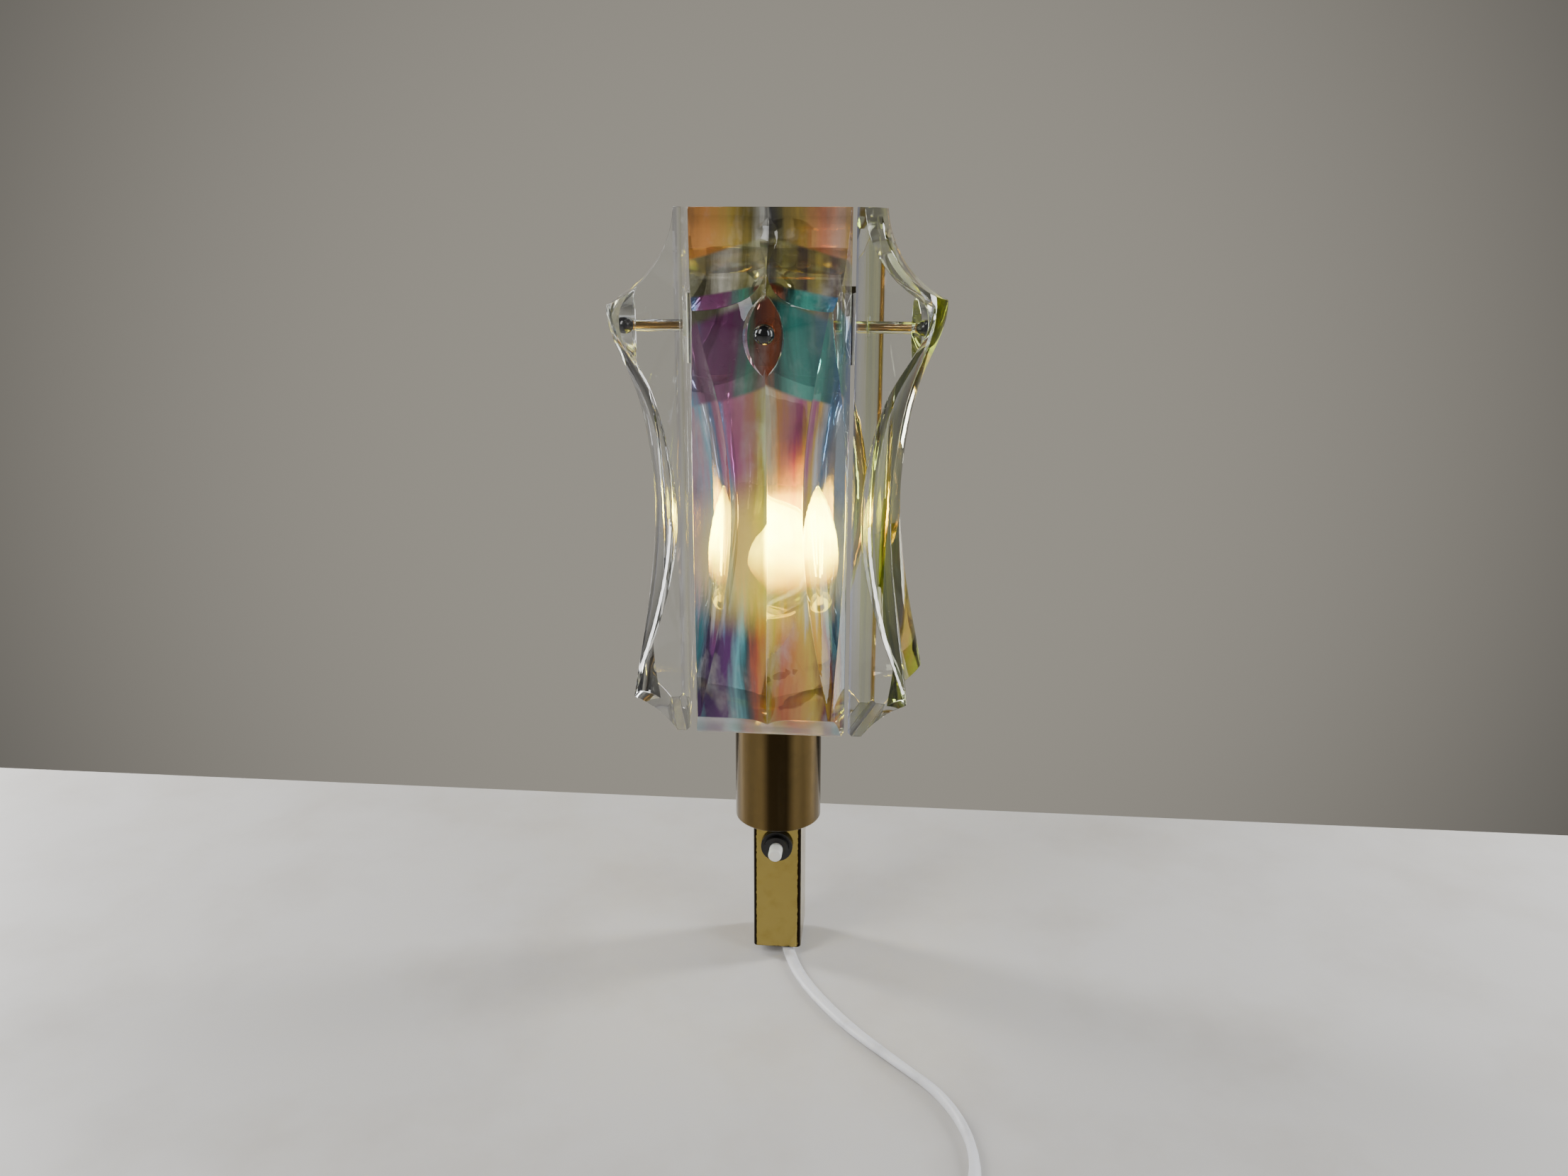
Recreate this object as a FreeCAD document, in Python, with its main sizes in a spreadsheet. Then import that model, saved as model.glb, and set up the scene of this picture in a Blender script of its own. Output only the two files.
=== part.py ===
import FreeCAD, Part
import math
import os
import re

import Sketcher
from FreeCAD import Placement, Rotation, Vector

# Crystal wall sconce, in millimetres.
# Frame: X to the right, Y into the wall, Z up. The wall is the plane y = 0 and the
# origin is the middle of the keyhole's round hole, where the wall screw goes.
# Levels are measured from the three pins that the crystals hang on: "rise" is
# above the pins, "drop" is below them, and "reach" is the distance from the wall.

SIZES = {
    # flat brass spine against the wall
    "keyhole_rise": 22,
    "keyhole_diameter": 9,
    "keyhole_slot_width": 4.5,
    "keyhole_slot_height": 8,
    "spine_width": 20,
    "spine_thickness": 3,
    "spine_top_rise": 32,
    # radius of a round end, as a share of half its width
    "round_end": 1.0001,
    # crystals: one cut prism, used three times
    "crystal_width": 56,
    "crystal_draft": 10.8,
    "crystal_top_rise": 40.5,
    "crystal_bottom_drop": 148.5,
    "crystal_back_bevel": 1.5,
    "scoop_radius": 22,
    "lobe_radius": 34,
    "brow_radius": 38.1,
    "brow_depth": 42,
    "brow_rise": 43.2,
    "brow_turn": 3,
    "chin_radius": 33,
    "chin_depth": 32.4,
    "chin_drop": 166.9,
    "recess_half_width": 6,
    "recess_top_rise": 13,
    "recess_bottom_drop": 15,
    "recess_flare": 8,
    "seat_depth": 16,
    # where the crystals hang
    "front_reach": 56,
    "side_pin_out": 33.2,
    "side_pin_reach": 32.8,
    "side_splay": 7.5,
    # pins, ball nuts, washers and hexagon nuts
    "pin_diameter": 4,
    "pin_clearance": 0.1,
    "pin_end_depth": 20,
    "pin_tail": 1.3,
    "ball_diameter": 7,
    "ball_centre_depth": 19.3,
    "ball_gap": 0.2,
    "washer_diameter": 9,
    "washer_thickness": 1,
    "pin_nut_flats": 7,
    "pin_nut_thickness": 2.2,
    # band that carries the pins
    "band_height": 24,
    "band_wall": 1.5,
    "band_corner": 2.5,
    "band_inner_corner": 1,
    # small screws, M3
    "screw_diameter": 3,
    "screw_fit": 0.05,
    "screw_head_diameter": 5.5,
    "screw_head_height": 2,
    "screw_slot_width": 0.8,
    "screw_slot_depth": 1,
    "band_screw_out": 6,
    "holder_screw_out": 6,
    "holder_screw_reach": 16,
    "holder_screw_bite": 3,
    "box_screw_first_drop": 226,
    "box_screw_pitch": 26,
    # switch box
    "box_width": 20,
    "box_depth": 23,
    "box_height": 60,
    "box_top_drop": 201,
    "box_wall": 1.2,
    "box_top_wall": 1.5,
    "box_corner": 2,
    "box_inner_corner": 0.8,
    # cup and lampholder
    "lamp_reach": 21,
    "cup_radius": 17.5,
    "cup_wall": 0.8,
    "cup_floor": 1.2,
    "cup_height": 51,
    "cup_edge": 1,
    "holder_radius": 13.5,
    "holder_waist_radius": 12.3,
    "holder_collar_height": 26,
    "holder_height": 61.3,
    "holder_base": 5,
    "holder_chamber_radius": 9.5,
    "holder_chamber_height": 21,
    "holder_deck": 2.8,
    "shell_radius": 7.8,
    "shell_wall": 0.6,
    "shell_rim_gap": 3.5,
    "shell_fit": 0.1,
    "contact_radius": 2.6,
    "contact_pin_radius": 1.2,
    "contact_height": 5,
    "contact_foot": 1.5,
    "bush_radius": 3,
    "bush_bore_radius": 2.4,
    "bush_flange_radius": 3.6,
    "bush_flange": 0.8,
    "bush_fit": 0.1,
    # candle bulb
    "cap_radius": 6.95,
    "cap_length": 25,
    "cap_tip_radius": 2.4,
    "cap_tip_height": 3,
    "cap_glass_height": 2.5,
    "collar_foot_radius": 10,
    "collar_radius": 11,
    "collar_height": 23,
    "glass_radius": 17.5,
    "glass_widest_rise": 24,
    "glass_tip_rise": 58,
    "glass_tip_radius": 1.2,
    "glass_wall": 0.8,
    "glass_shoulder_radius": 46,
    "glass_flank_radius": 46,
    "stem_radius": 4,
    "stem_top_radius": 1.6,
    "stem_height": 20,
    "filament_radius": 0.9,
    "filament_height": 30,
    "filament_foot_out": 3.2,
    "filament_lean": 7,
    # push switch in the front of the box
    "switch_drop": 213,
    "switch_radius": 6.5,
    "switch_length": 15.8,
    "switch_neck_radius": 5,
    "switch_neck_length": 5.1,
    "switch_hole_fit": 0.1,
    "switch_nut_radius": 6.5,
    "switch_nut_thickness": 2,
    "switch_chamber_radius": 4.15,
    "switch_chamber_start": 2.3,
    "switch_chamber_end": 12.8,
    "switch_lug_out": 4,
    "switch_lug_width": 2,
    "switch_lug_thickness": 1.2,
    "switch_lug_length": 3.4,
    "button_radius": 2.75,
    "button_fit": 0.08,
    "button_stand_out": 6.2,
    "button_flange_radius": 4,
    "button_flange": 1.5,
    "button_round": 0.9,
    "spring_radius": 2.9,
    "spring_wire": 0.6,
    "spring_turns": 6,
    # inside the box, behind and below the switch
    "block_width": 14,
    "block_depth": 8,
    "block_height": 12,
    "block_drop": 236,
    "block_bore": 3,
    "lead_diameter": 1.8,
    "grip_width": 12,
    "grip_depth": 10.4,
    "grip_height": 8,
    "grip_drop": 254,
    # mains lead, its coil and its plug
    "cord_diameter": 4,
    "floor_drop": 265.2,
    "coil_outer_radius": 33,
    "coil_gap": 0.45,
    "coil_half_turns": 8,
    "plug_width": 35,
    "plug_thickness": 13.7,
    "plug_length": 36.8,
    "plug_nose_width": 26,
    "plug_neck_width": 9,
    "plug_neck_length": 8,
    "plug_corner": 2,
    "plug_pin_diameter": 4,
    "plug_pin_length": 19,
    "plug_pin_spacing": 18,
}

# Cross sections of the crystal from its top down: level above the pin, then the
# ridge's distance from the middle, and the depths of ridge, side edge and valley
# in front of the flat back. The first and the last take the crystal's own ends.
CRYSTAL_SECTIONS = {
    "crown": ("=crystal_top_rise", 24.6, 14.2, 13.8, 6.2),
    "temple": (20, 23.4, 20.2, 19.8, 11.5),
    "peak": (8.5, 22, 26.4, 26, 16.5),
    "cheek": (-20, 16.4, 18.3, 12.8, 14.5),
    "throat": (-42, 13.5, 13.6, 5.9, 11),
    "waist": (-64, 12.6, 11.9, 3.4, 9),
    "hip": (-90, 14.5, 13.6, 6.2, 9.8),
    "skirt": (-114, 18.6, 17.2, 13.2, 12.4),
    "lip": (-136, 22.9, 21, 20.6, 11),
    "foot": ("=-crystal_bottom_drop", 23.2, 22, 21.6, 10.2),
}
SECTION_SIZES = ("rise", "ridge_out", "ridge_depth", "side_depth", "valley_depth")
for section, numbers in CRYSTAL_SECTIONS.items():
    SIZES.update({f"{section}_{name}": number for name, number in zip(SECTION_SIZES, numbers)})

doc = FreeCAD.newDocument("wall_sconce")
sheet = doc.addObject("Spreadsheet::Sheet", "dims")
for row, (alias, size) in enumerate(SIZES.items(), start=1):
    sheet.set(f"A{row}", alias.replace("_", " "))
    sheet.set(f"B{row}", str(size))
    sheet.setAlias(f"B{row}", alias)
doc.recompute()

FRONT = Vector(0, -1, 0)
UP = Vector(0, 0, 1)
# lengths closer than this count as equal
SAME = 0.001
NODES = {}


# ---------------------------------------------------------------- tools of the trade

def cells(expression):
    """The expression with each size written as its cell in the sheet."""
    return re.sub(
        r"[a-z]\w*",
        lambda word: f"dims.{word[0]}" if word[0] in SIZES else word[0],
        str(expression),
    )


def amount(expression):
    """What an expression comes to, as a plain number."""
    result = sheet.evalExpression(cells(expression))
    return float(getattr(result, "Value", result))


def bind(thing, sizes):
    """Ties properties of a thing to the sheet."""
    for name, expression in sizes.items():
        thing.setExpression(name, cells(expression))
    return thing


def place(thing, out="0", reach="0", rise="0"):
    """Puts a thing at a distance from the middle, from the wall and above the pins."""
    return bind(
        thing,
        {
            "Placement.Base.x": out,
            "Placement.Base.y": f"-({reach})",
            "Placement.Base.z": f"{rise} - keyhole_rise",
        },
    )


def new_body(name):
    """A body that becomes the node of that name."""
    body = doc.addObject("PartDesign::Body", name)
    NODES[name] = body
    return body


def sketch(body, plane, offset="0", turn=0):
    """A sketch on an origin plane, moved along its normal or turned about its upright."""
    drawing = body.newObject("Sketcher::SketchObject", "outline")
    support = next(part for part in body.Origin.OriginFeatures if part.Role == plane)
    drawing.AttachmentSupport = (support, [""])
    drawing.MapMode = "FlatFace"
    drawing.AttachmentOffset = Placement(Vector(), Rotation(Vector(0, 1, 0), turn))
    return bind(drawing, {"AttachmentOffset.Base.z": offset})


def fix_point(drawing, edge, end, across, along):
    """Dimensions a point of a sketch from the sketch's origin."""
    for kind, expression in (("DistanceX", across), ("DistanceY", along)):
        number = drawing.addConstraint(
            Sketcher.Constraint(kind, -1, 1, edge, end, amount(expression))
        )
        drawing.setExpression(f"Constraints[{number}]", cells(expression))


def fix_radius(drawing, edge, expression):
    """Dimensions an arc or a circle of a sketch."""
    number = drawing.addConstraint(Sketcher.Constraint("Radius", edge, amount(expression)))
    drawing.setExpression(f"Constraints[{number}]", cells(expression))


def arc_between(start, end, radius, leftward):
    """The arc from start to end that turns to the left or to the right."""
    chord = end - start
    left = Vector(-chord.y, chord.x, 0).normalize()
    to_centre = math.sqrt(radius**2 - (chord.Length / 2) ** 2)
    centre = (start + end) / 2 + left * (to_centre if leftward else -to_centre)
    first, last = (start, end) if leftward else (end, start)
    angles = [math.atan2(spot.y - centre.y, spot.x - centre.x) for spot in (first, last)]
    if angles[1] < angles[0]:
        angles[1] += 2 * math.pi
    return Part.ArcOfCircle(Part.Circle(centre, UP, radius), *angles)


def outline(drawing, corners):
    """Adds a closed outline. A corner is (across, along), and with a radius and
    "left" or "right" behind them the edge that leaves it is an arc turning that way."""
    base = drawing.GeometryCount
    spots = [Vector(amount(corner[0]), amount(corner[1]), 0) for corner in corners]
    ends = []
    for number, corner in enumerate(corners):
        start, end = spots[number], spots[(number + 1) % len(spots)]
        if len(corner) == 2:
            drawing.addGeometry(Part.LineSegment(start, end), False)
            ends.append((1, 2))
        else:
            leftward = corner[3] == "left"
            drawing.addGeometry(arc_between(start, end, amount(corner[2]), leftward), False)
            ends.append((1, 2) if leftward else (2, 1))
    for number, corner in enumerate(corners):
        following = (number + 1) % len(corners)
        drawing.addConstraint(
            Sketcher.Constraint(
                "Coincident", base + number, ends[number][1], base + following, ends[following][0]
            )
        )
        fix_point(drawing, base + number, ends[number][0], corner[0], corner[1])
        if len(corner) == 4:
            fix_radius(drawing, base + number, corner[2])
    return drawing


def circle(drawing, across, along, radius):
    """Adds a circle to a sketch."""
    edge = drawing.addGeometry(
        Part.Circle(Vector(amount(across), amount(along), 0), UP, amount(radius)), False
    )
    fix_point(drawing, edge, 3, across, along)
    fix_radius(drawing, edge, radius)
    return drawing


def box_outline(half_width, front, back):
    """Corners of a rectangle that is centred on the middle plane."""
    return [
        (f"-({half_width})", back),
        (f"-({half_width})", front),
        (half_width, front),
        (half_width, back),
    ]


def pad(body, drawing, length, both_ways=False):
    """Thickens a sketch along its normal."""
    feature = body.newObject("PartDesign::Pad", "pad")
    feature.Profile = drawing
    feature.SideType = "Symmetric" if both_ways else "One side"
    return bind(feature, {"Length": length})


def cut(body, drawing, length=None, both_ways=False, taper="0"):
    """Cuts a sketch out of the body along the sketch's normal, right through or so deep."""
    feature = body.newObject("PartDesign::Pocket", "cut")
    feature.Profile = drawing
    feature.Reversed = not both_ways
    feature.SideType = "Symmetric" if both_ways else "One side"
    if length is None:
        feature.Type = "ThroughAll"
    else:
        bind(feature, {"Length": length})
    return bind(feature, {"TaperAngle": taper})


def turned(body, drawing, kind="PartDesign::Revolution"):
    """Spins a sketch about its upright axis."""
    feature = body.newObject(kind, "turning")
    feature.Profile = drawing
    feature.ReferenceAxis = (drawing, ["V_Axis"])
    feature.Angle = 360
    return feature


def dress(body, kind, size_name, expression, wanted):
    """Rounds or bevels the edges of the body that the test wants."""
    doc.recompute()
    base = body.Tip
    names = [f"Edge{n}" for n, edge in enumerate(base.Shape.Edges, start=1) if wanted(edge)]
    feature = body.newObject(kind, "dressing")
    feature.Base = (base, names)
    return bind(feature, {size_name: expression})


def fillet(body, expression, wanted):
    return dress(body, "PartDesign::Fillet", "Radius", expression, wanted)


def chamfer(body, expression, wanted):
    return dress(body, "PartDesign::Chamfer", "Size", expression, wanted)


def upright(edge):
    """Whether an edge is a straight vertical one."""
    if edge.Curve.TypeId != "Part::GeomLine":
        return False
    return abs(edge.tangentAt(edge.FirstParameter).z) > 1 - SAME


def upright_before(edge, reach):
    """Whether an edge is an upright one that stands further from the wall than a plane."""
    return upright(edge) and edge.Vertexes[0].Y < -amount(reach) - SAME


def upright_at(edge, spots):
    """Whether an edge is an upright one that stands on one of these spots."""
    foot = Vector(edge.Vertexes[0].X, edge.Vertexes[0].Y, 0)
    return upright(edge) and min((foot - spot).Length for spot in spots) < SAME


def flat_spots(corners):
    """The points of a level sketch's corners."""
    return [Vector(amount(across), amount(along), 0) for across, along in corners]


def ring_at(edge, radius, along, axis="z"):
    """Whether an edge is a full circle of that radius at that place on an axis."""
    if edge.Curve.TypeId != "Part::GeomCircle" or not edge.isClosed():
        return False
    centre = getattr(edge.Curve.Center, axis)
    return abs(edge.Curve.Radius - radius) < SAME and abs(centre - along) < SAME


def cylinder(name, radius, length, base, direction):
    """A round bar from a point along a direction, with radius and length on the sheet."""
    bar = doc.addObject("Part::Cylinder", name)
    bind(bar, {"Radius": radius, "Height": length})
    bar.Placement = Placement(base, Rotation(UP, direction))
    return bar


def joined(name, pieces, kind="Part::MultiFuse"):
    """Several shapes fused into one, or grouped as separate solids."""
    whole = doc.addObject(kind, name)
    setattr(whole, "Links" if kind == "Part::Compound" else "Shapes", pieces)
    return whole


def less(name, base, tool):
    """A shape with another one taken away."""
    rest = doc.addObject("Part::Cut", name)
    rest.Base = base
    rest.Tool = tool
    return rest


def feature(name, shape):
    """A node whose shape is worked out here."""
    thing = doc.addObject("Part::Feature", name)
    thing.Shape = shape
    NODES[name] = thing
    return thing


# ---------------------------------------------------------------- tubes along a route

def arc_edge(start, corner, end):
    """The arc that leaves start towards the corner and meets end coming from it."""
    half_turn = math.pi / 2 - (start - corner).getAngle(end - corner) / 2
    radius = (corner - start).Length / math.tan(half_turn)
    bisector = ((start - corner).normalize() + (end - corner).normalize()).normalize()
    centre = corner + bisector * math.hypot(radius, (corner - start).Length)
    return Part.Arc(start, centre - bisector * radius, end).toShape(), radius


def rounded_route(points):
    """Straight runs joined by tangent arcs, each as large as its runs allow."""
    edges = []
    radii = []
    start = points[0]
    for before, corner, after in zip(points, points[1:], points[2:]):
        reach = 0.45 * min((corner - before).Length, (after - corner).Length)
        entry = corner + (before - corner).normalize() * reach
        leave = corner + (after - corner).normalize() * reach
        bend, radius = arc_edge(entry, corner, leave)
        edges += [Part.LineSegment(start, entry).toShape(), bend]
        radii.append(radius)
        start = leave
    edges.append(Part.LineSegment(start, points[-1]).toShape())
    return edges, radii


def tube(edges, diameter):
    """A round solid along joined edges, checked against its section times its length."""
    route = Part.Wire(edges)
    first = edges[0]
    start = first.valueAt(first.FirstParameter)
    direction = first.tangentAt(first.FirstParameter)
    section = Part.Wire(Part.makeCircle(diameter / 2, start, direction))
    solid = route.makePipeShell([section], True, False)
    expected = math.pi * diameter**2 / 4 * route.Length
    assert abs(solid.Volume / expected - 1) < 0.01, "a tube isn't its section times its length"
    return solid


# ---------------------------------------------------------------- crystals

def crystal(name, out, reach, turn):
    """A cut prism with a flat back, hung on the pin through its bore. In its own
    frame the pin's axis is Y, the back is the plane y = 0 and the cuts face -Y."""
    body = new_body(name)
    sections = []
    for section in CRYSTAL_SECTIONS:
        drawing = sketch(body, "XY_Plane", f"{section}_rise")
        half_back = "crystal_width / 2"
        side_out = f"({half_back} - {section}_side_depth * tan(crystal_draft))"
        ridge = (f"{section}_ridge_out", f"-{section}_ridge_depth")
        side = (side_out, f"-{section}_side_depth")
        outline(
            drawing,
            [
                (f"-({half_back})", "0"),
                (f"-{side_out}", side[1], "scoop_radius", "right"),
                (f"-{ridge[0]}", ridge[1], "lobe_radius", "left"),
                ("0", f"-{section}_valley_depth", "lobe_radius", "left"),
                (ridge[0], ridge[1], "scoop_radius", "right"),
                side,
                (half_back, "0"),
            ],
        )
        sections.append(drawing)
    loft = body.newObject("PartDesign::AdditiveLoft", "prism")
    loft.Profile = sections[0]
    loft.Sections = sections[1:]
    # two hollow brows that meet in a crease, and the hollow chin
    for side in (1, -1):
        brow = sketch(body, "YZ_Plane", turn=side * amount("brow_turn"))
        circle(brow, "-brow_depth", "brow_rise", "brow_radius")
        cut(body, brow, "3 * crystal_width", both_ways=True)
    chin = sketch(body, "YZ_Plane")
    circle(chin, "-chin_depth", "-chin_drop", "chin_radius")
    cut(body, chin, "3 * crystal_width", both_ways=True)
    # lens-shaped recess that the ball nut sits in, and the bore for the pin
    recess = sketch(body, "XZ_Plane", "seat_depth")
    recess_height = "(recess_top_rise + recess_bottom_drop)"
    recess_curve = f"({recess_height}^2 / 8 / recess_half_width + recess_half_width / 2)"
    outline(
        recess,
        [
            ("0", "-recess_bottom_drop", recess_curve, "left"),
            ("0", "recess_top_rise", recess_curve, "left"),
        ],
    )
    cut(body, recess, taper="recess_flare")
    bore = sketch(body, "XZ_Plane")
    circle(bore, "0", "0", "pin_diameter / 2 + pin_clearance")
    cut(body, bore)
    chamfer(
        body,
        "crystal_back_bevel",
        lambda edge: all(
            abs(corner.Y) < SAME and abs(corner.Z + amount("crystal_bottom_drop")) < SAME
            for corner in edge.Vertexes
        ),
    )
    body.Placement = Placement(Vector(), Rotation(UP, turn))
    place(body, out, reach)


SIDE_TURN = 90 - amount("side_splay")
HANGERS = {
    "front": ("0", "front_reach", 0),
    "left": ("-side_pin_out", "side_pin_reach", -SIDE_TURN),
    "right": ("side_pin_out", "side_pin_reach", SIDE_TURN),
}
for side, (out, reach, turn) in HANGERS.items():
    crystal(f"crystal_{side}", out, reach, turn)


# ---------------------------------------------------------------- pins and their nuts

def at_hanger(side, depth):
    """The point on a pin's axis so far in front of its crystal's back, and the axis."""
    out, reach, turn = HANGERS[side]
    outward = Rotation(UP, turn).multVec(FRONT)
    pin_point = Vector(amount(out), -amount(reach), -amount("keyhole_rise"))
    return pin_point + outward * amount(depth), outward


def pin(side):
    """A plain brass rod from inside the band to inside the ball nut."""
    tail = "(washer_thickness + band_wall + pin_nut_thickness + pin_tail)"
    start, outward = at_hanger(side, f"-{tail}")
    name = f"pin_{side}"
    NODES[name] = cylinder(name, "pin_diameter / 2", f"{tail} + pin_end_depth", start, outward)


def ball_nut(side):
    """A glossy ball with a flat seat, screwed onto the pin in front of the crystal."""
    name = f"ball_nut_{side}"
    centre, outward = at_hanger(side, "ball_centre_depth")
    seat, _ = at_hanger(side, "seat_depth + ball_gap")
    ball = doc.addObject("Part::Sphere", f"{name}_ball")
    bind(ball, {"Radius": "ball_diameter / 2"})
    ball.Placement = Placement(centre, Rotation(UP, outward))
    behind = cylinder(f"{name}_flat", "ball_diameter", "ball_diameter", seat, outward * -1)
    bore_length = "pin_end_depth - seat_depth - ball_gap"
    bore = cylinder(f"{name}_bore", "pin_diameter / 2", bore_length, seat, outward)
    NODES[name] = less(name, ball, joined(f"{name}_tools", [behind, bore]))


def hanger_washer(side):
    """The washer between the band and the crystal's back."""
    start, outward = at_hanger(side, "-washer_thickness")
    disc = cylinder(f"washer_{side}", "washer_diameter / 2", "washer_thickness", start, outward)
    hole = cylinder(
        f"washer_{side}_hole", "pin_diameter / 2", "washer_thickness", start, outward
    )
    return less(f"washer_{side}_ring", disc, hole)


def hanger_nut(side):
    """The hexagon nut that holds the pin from inside the band."""
    start, outward = at_hanger(side, "-(washer_thickness + band_wall + pin_nut_thickness)")
    prism = doc.addObject("Part::Prism", f"nut_{side}")
    prism.Polygon = 6
    bind(prism, {"Circumradius": "pin_nut_flats / 2 / cos(30)", "Height": "pin_nut_thickness"})
    prism.Placement = Placement(start, Rotation(UP, outward))
    hole = cylinder(f"nut_{side}_hole", "pin_diameter / 2", "pin_nut_thickness", start, outward)
    return less(f"nut_{side}_ring", prism, hole)


for side in HANGERS:
    pin(side)
    ball_nut(side)
WASHERS = [hanger_washer(side) for side in HANGERS]
NODES["pin_washers"] = joined("pin_washers", WASHERS, "Part::Compound")
HANGER_NUTS = [hanger_nut(side) for side in HANGERS]
NODES["pin_nuts"] = joined("pin_nuts", HANGER_NUTS, "Part::Compound")


# ---------------------------------------------------------------- band and spine

def band():
    """The closed brass ring, its sides parallel to the backs of the side crystals."""
    body = new_body("band")

    def side_out(reach, depth):
        """Distance from the middle of a side wall's face, so deep inside the crystal's back."""
        slant = f"(side_pin_reach - {reach}) * sin(side_splay)"
        return f"(side_pin_out + ({slant} - ({depth})) / cos(side_splay))"

    def ring(front, back, depth):
        return [
            (f"-{side_out(back, depth)}", f"-{back}"),
            (f"-{side_out(front, depth)}", f"-{front}"),
            (side_out(front, depth), f"-{front}"),
            (side_out(back, depth), f"-{back}"),
        ]

    outer_front = "(front_reach - washer_thickness)"
    outer_corners = ring(outer_front, "spine_thickness", "washer_thickness")
    outer = outline(sketch(body, "XY_Plane"), outer_corners)
    pad(body, outer, "band_height", both_ways=True)
    fillet(body, "band_corner", upright)
    inner_front = "(front_reach - washer_thickness - band_wall)"
    inner_back = "(spine_thickness + band_wall)"
    corners = ring(inner_front, inner_back, "washer_thickness + band_wall")
    inner = outline(sketch(body, "XY_Plane"), corners)
    cut(body, inner, "2 * band_height", both_ways=True)
    spots = flat_spots(corners)
    fillet(body, "band_inner_corner", lambda edge: upright_at(edge, spots))
    # one hole for each pin, cut from the inside of the ring outwards
    middle_reach = "(side_pin_reach - side_pin_out * tan(side_splay))"
    for _, _, turn in HANGERS.values():
        hole = sketch(body, "XZ_Plane", middle_reach, turn)
        circle(hole, "0", "0", "pin_diameter / 2 + pin_clearance")
        cut(body, hole)
    screws = sketch(body, "XZ_Plane")
    for sign in "+-":
        circle(screws, f"{sign}band_screw_out", "0", "screw_diameter / 2 + screw_fit")
    cut(body, screws, "spine_thickness + 2 * band_wall")
    place(body)


def spine():
    """The flat bar on the wall, with its keyhole and the screw holes for what it carries."""
    body = new_body("spine")
    half = "(spine_width / 2)"
    shoulder = f"(spine_top_rise - {half})"
    bar = outline(
        sketch(body, "XZ_Plane"),
        [
            (f"-{half}", "-(box_top_drop + box_height)"),
            (half, "-(box_top_drop + box_height)"),
            (half, shoulder, f"{half} * round_end", "left"),
            (f"-{half}", shoulder),
        ],
    )
    pad(body, bar, "spine_thickness")
    slot_half = "(keyhole_slot_width / 2)"
    slot_top = "(keyhole_rise + keyhole_slot_height)"
    slot = outline(
        sketch(body, "XZ_Plane"),
        [
            (f"-{slot_half}", "keyhole_rise"),
            (slot_half, "keyhole_rise"),
            (slot_half, slot_top, f"{slot_half} * round_end", "left"),
            (f"-{slot_half}", slot_top),
        ],
    )
    cut(body, slot)
    cut(body, circle(sketch(body, "XZ_Plane"), "0", "keyhole_rise", "keyhole_diameter / 2"))
    tapped = sketch(body, "XZ_Plane")
    for sign in "+-":
        circle(tapped, f"{sign}band_screw_out", "0", "screw_diameter / 2 + screw_fit")
    cut(body, tapped)
    clearance = sketch(body, "XZ_Plane")
    for number in range(2):
        drop = f"-(box_screw_first_drop + {number} * box_screw_pitch)"
        circle(clearance, "0", drop, "screw_diameter / 2 + screw_fit")
    cut(body, clearance)
    hole_radius = amount("screw_diameter / 2 + screw_fit")
    box_top = -amount("box_top_drop")

    def box_screw_hole(edge):
        return ring_at(edge, hole_radius, 0, "y") and edge.Curve.Center.z < box_top

    chamfer(body, "(screw_head_diameter - screw_diameter) / 2", box_screw_hole)
    place(body)


def pan_screw(name, seat, direction, length):
    """A slotted screw with a flat round head; seat is under its head, length its shank."""
    shank = cylinder(f"{name}_shank", "screw_diameter / 2", length, seat, direction)
    head = cylinder(
        f"{name}_head", "screw_head_diameter / 2", "screw_head_height", seat, direction * -1
    )
    slot = doc.addObject("Part::Box", f"{name}_slot")
    bind(
        slot,
        {
            "Length": "2 * screw_head_diameter",
            "Width": "screw_slot_width",
            "Height": "screw_slot_depth",
        },
    )
    turn = Rotation(UP, direction * -1)
    corner = Vector(-amount("screw_head_diameter"), -amount("screw_slot_width / 2"), 0)
    corner.z = amount("screw_head_height - screw_slot_depth")
    slot.Placement = Placement(seat + turn.multVec(corner), turn)
    return less(name, joined(f"{name}_blank", [shank, head]), slot)


def countersunk_screw(name, seat, direction, length):
    """A countersunk screw; seat is the middle of its flat head."""
    rim = "(screw_head_diameter / 2)"
    shank = cylinder(f"{name}_shank", "screw_diameter / 2", length, seat, direction)
    head = doc.addObject("Part::Cone", f"{name}_head")
    bind(
        head,
        {
            "Radius1": rim,
            "Radius2": "screw_diameter / 2",
            "Height": f"{rim} - screw_diameter / 2",
        },
    )
    head.Placement = Placement(seat, Rotation(UP, direction))
    return joined(name, [shank, head])


def spot(out, reach, rise):
    """A point of the part from its distances."""
    return Vector(amount(out), -amount(reach), amount(rise) - amount("keyhole_rise"))


band()
spine()
NODES["band_screws"] = joined(
    "band_screws",
    [
        pan_screw(
            f"band_screw_{number}",
            spot(f"{sign}band_screw_out", "spine_thickness + band_wall", "0"),
            Vector(0, 1, 0),
            "spine_thickness + band_wall",
        )
        for number, sign in enumerate("+-")
    ],
    "Part::Compound",
)
NODES["box_screws"] = joined(
    "box_screws",
    [
        countersunk_screw(
            f"box_screw_{number}",
            spot("0", "0", f"-(box_screw_first_drop + {number} * box_screw_pitch)"),
            FRONT,
            "spine_thickness + box_wall",
        )
        for number in range(2)
    ],
    "Part::Compound",
)
NODES["holder_screws"] = joined(
    "holder_screws",
    [
        pan_screw(
            f"holder_screw_{number}",
            spot(
                f"{sign}holder_screw_out",
                "holder_screw_reach",
                "-(box_top_drop + box_top_wall)",
            ),
            UP,
            "box_top_wall + cup_floor + holder_screw_bite",
        )
        for number, sign in enumerate("+-")
    ],
    "Part::Compound",
)


# ---------------------------------------------------------------- switch box and cup

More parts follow.
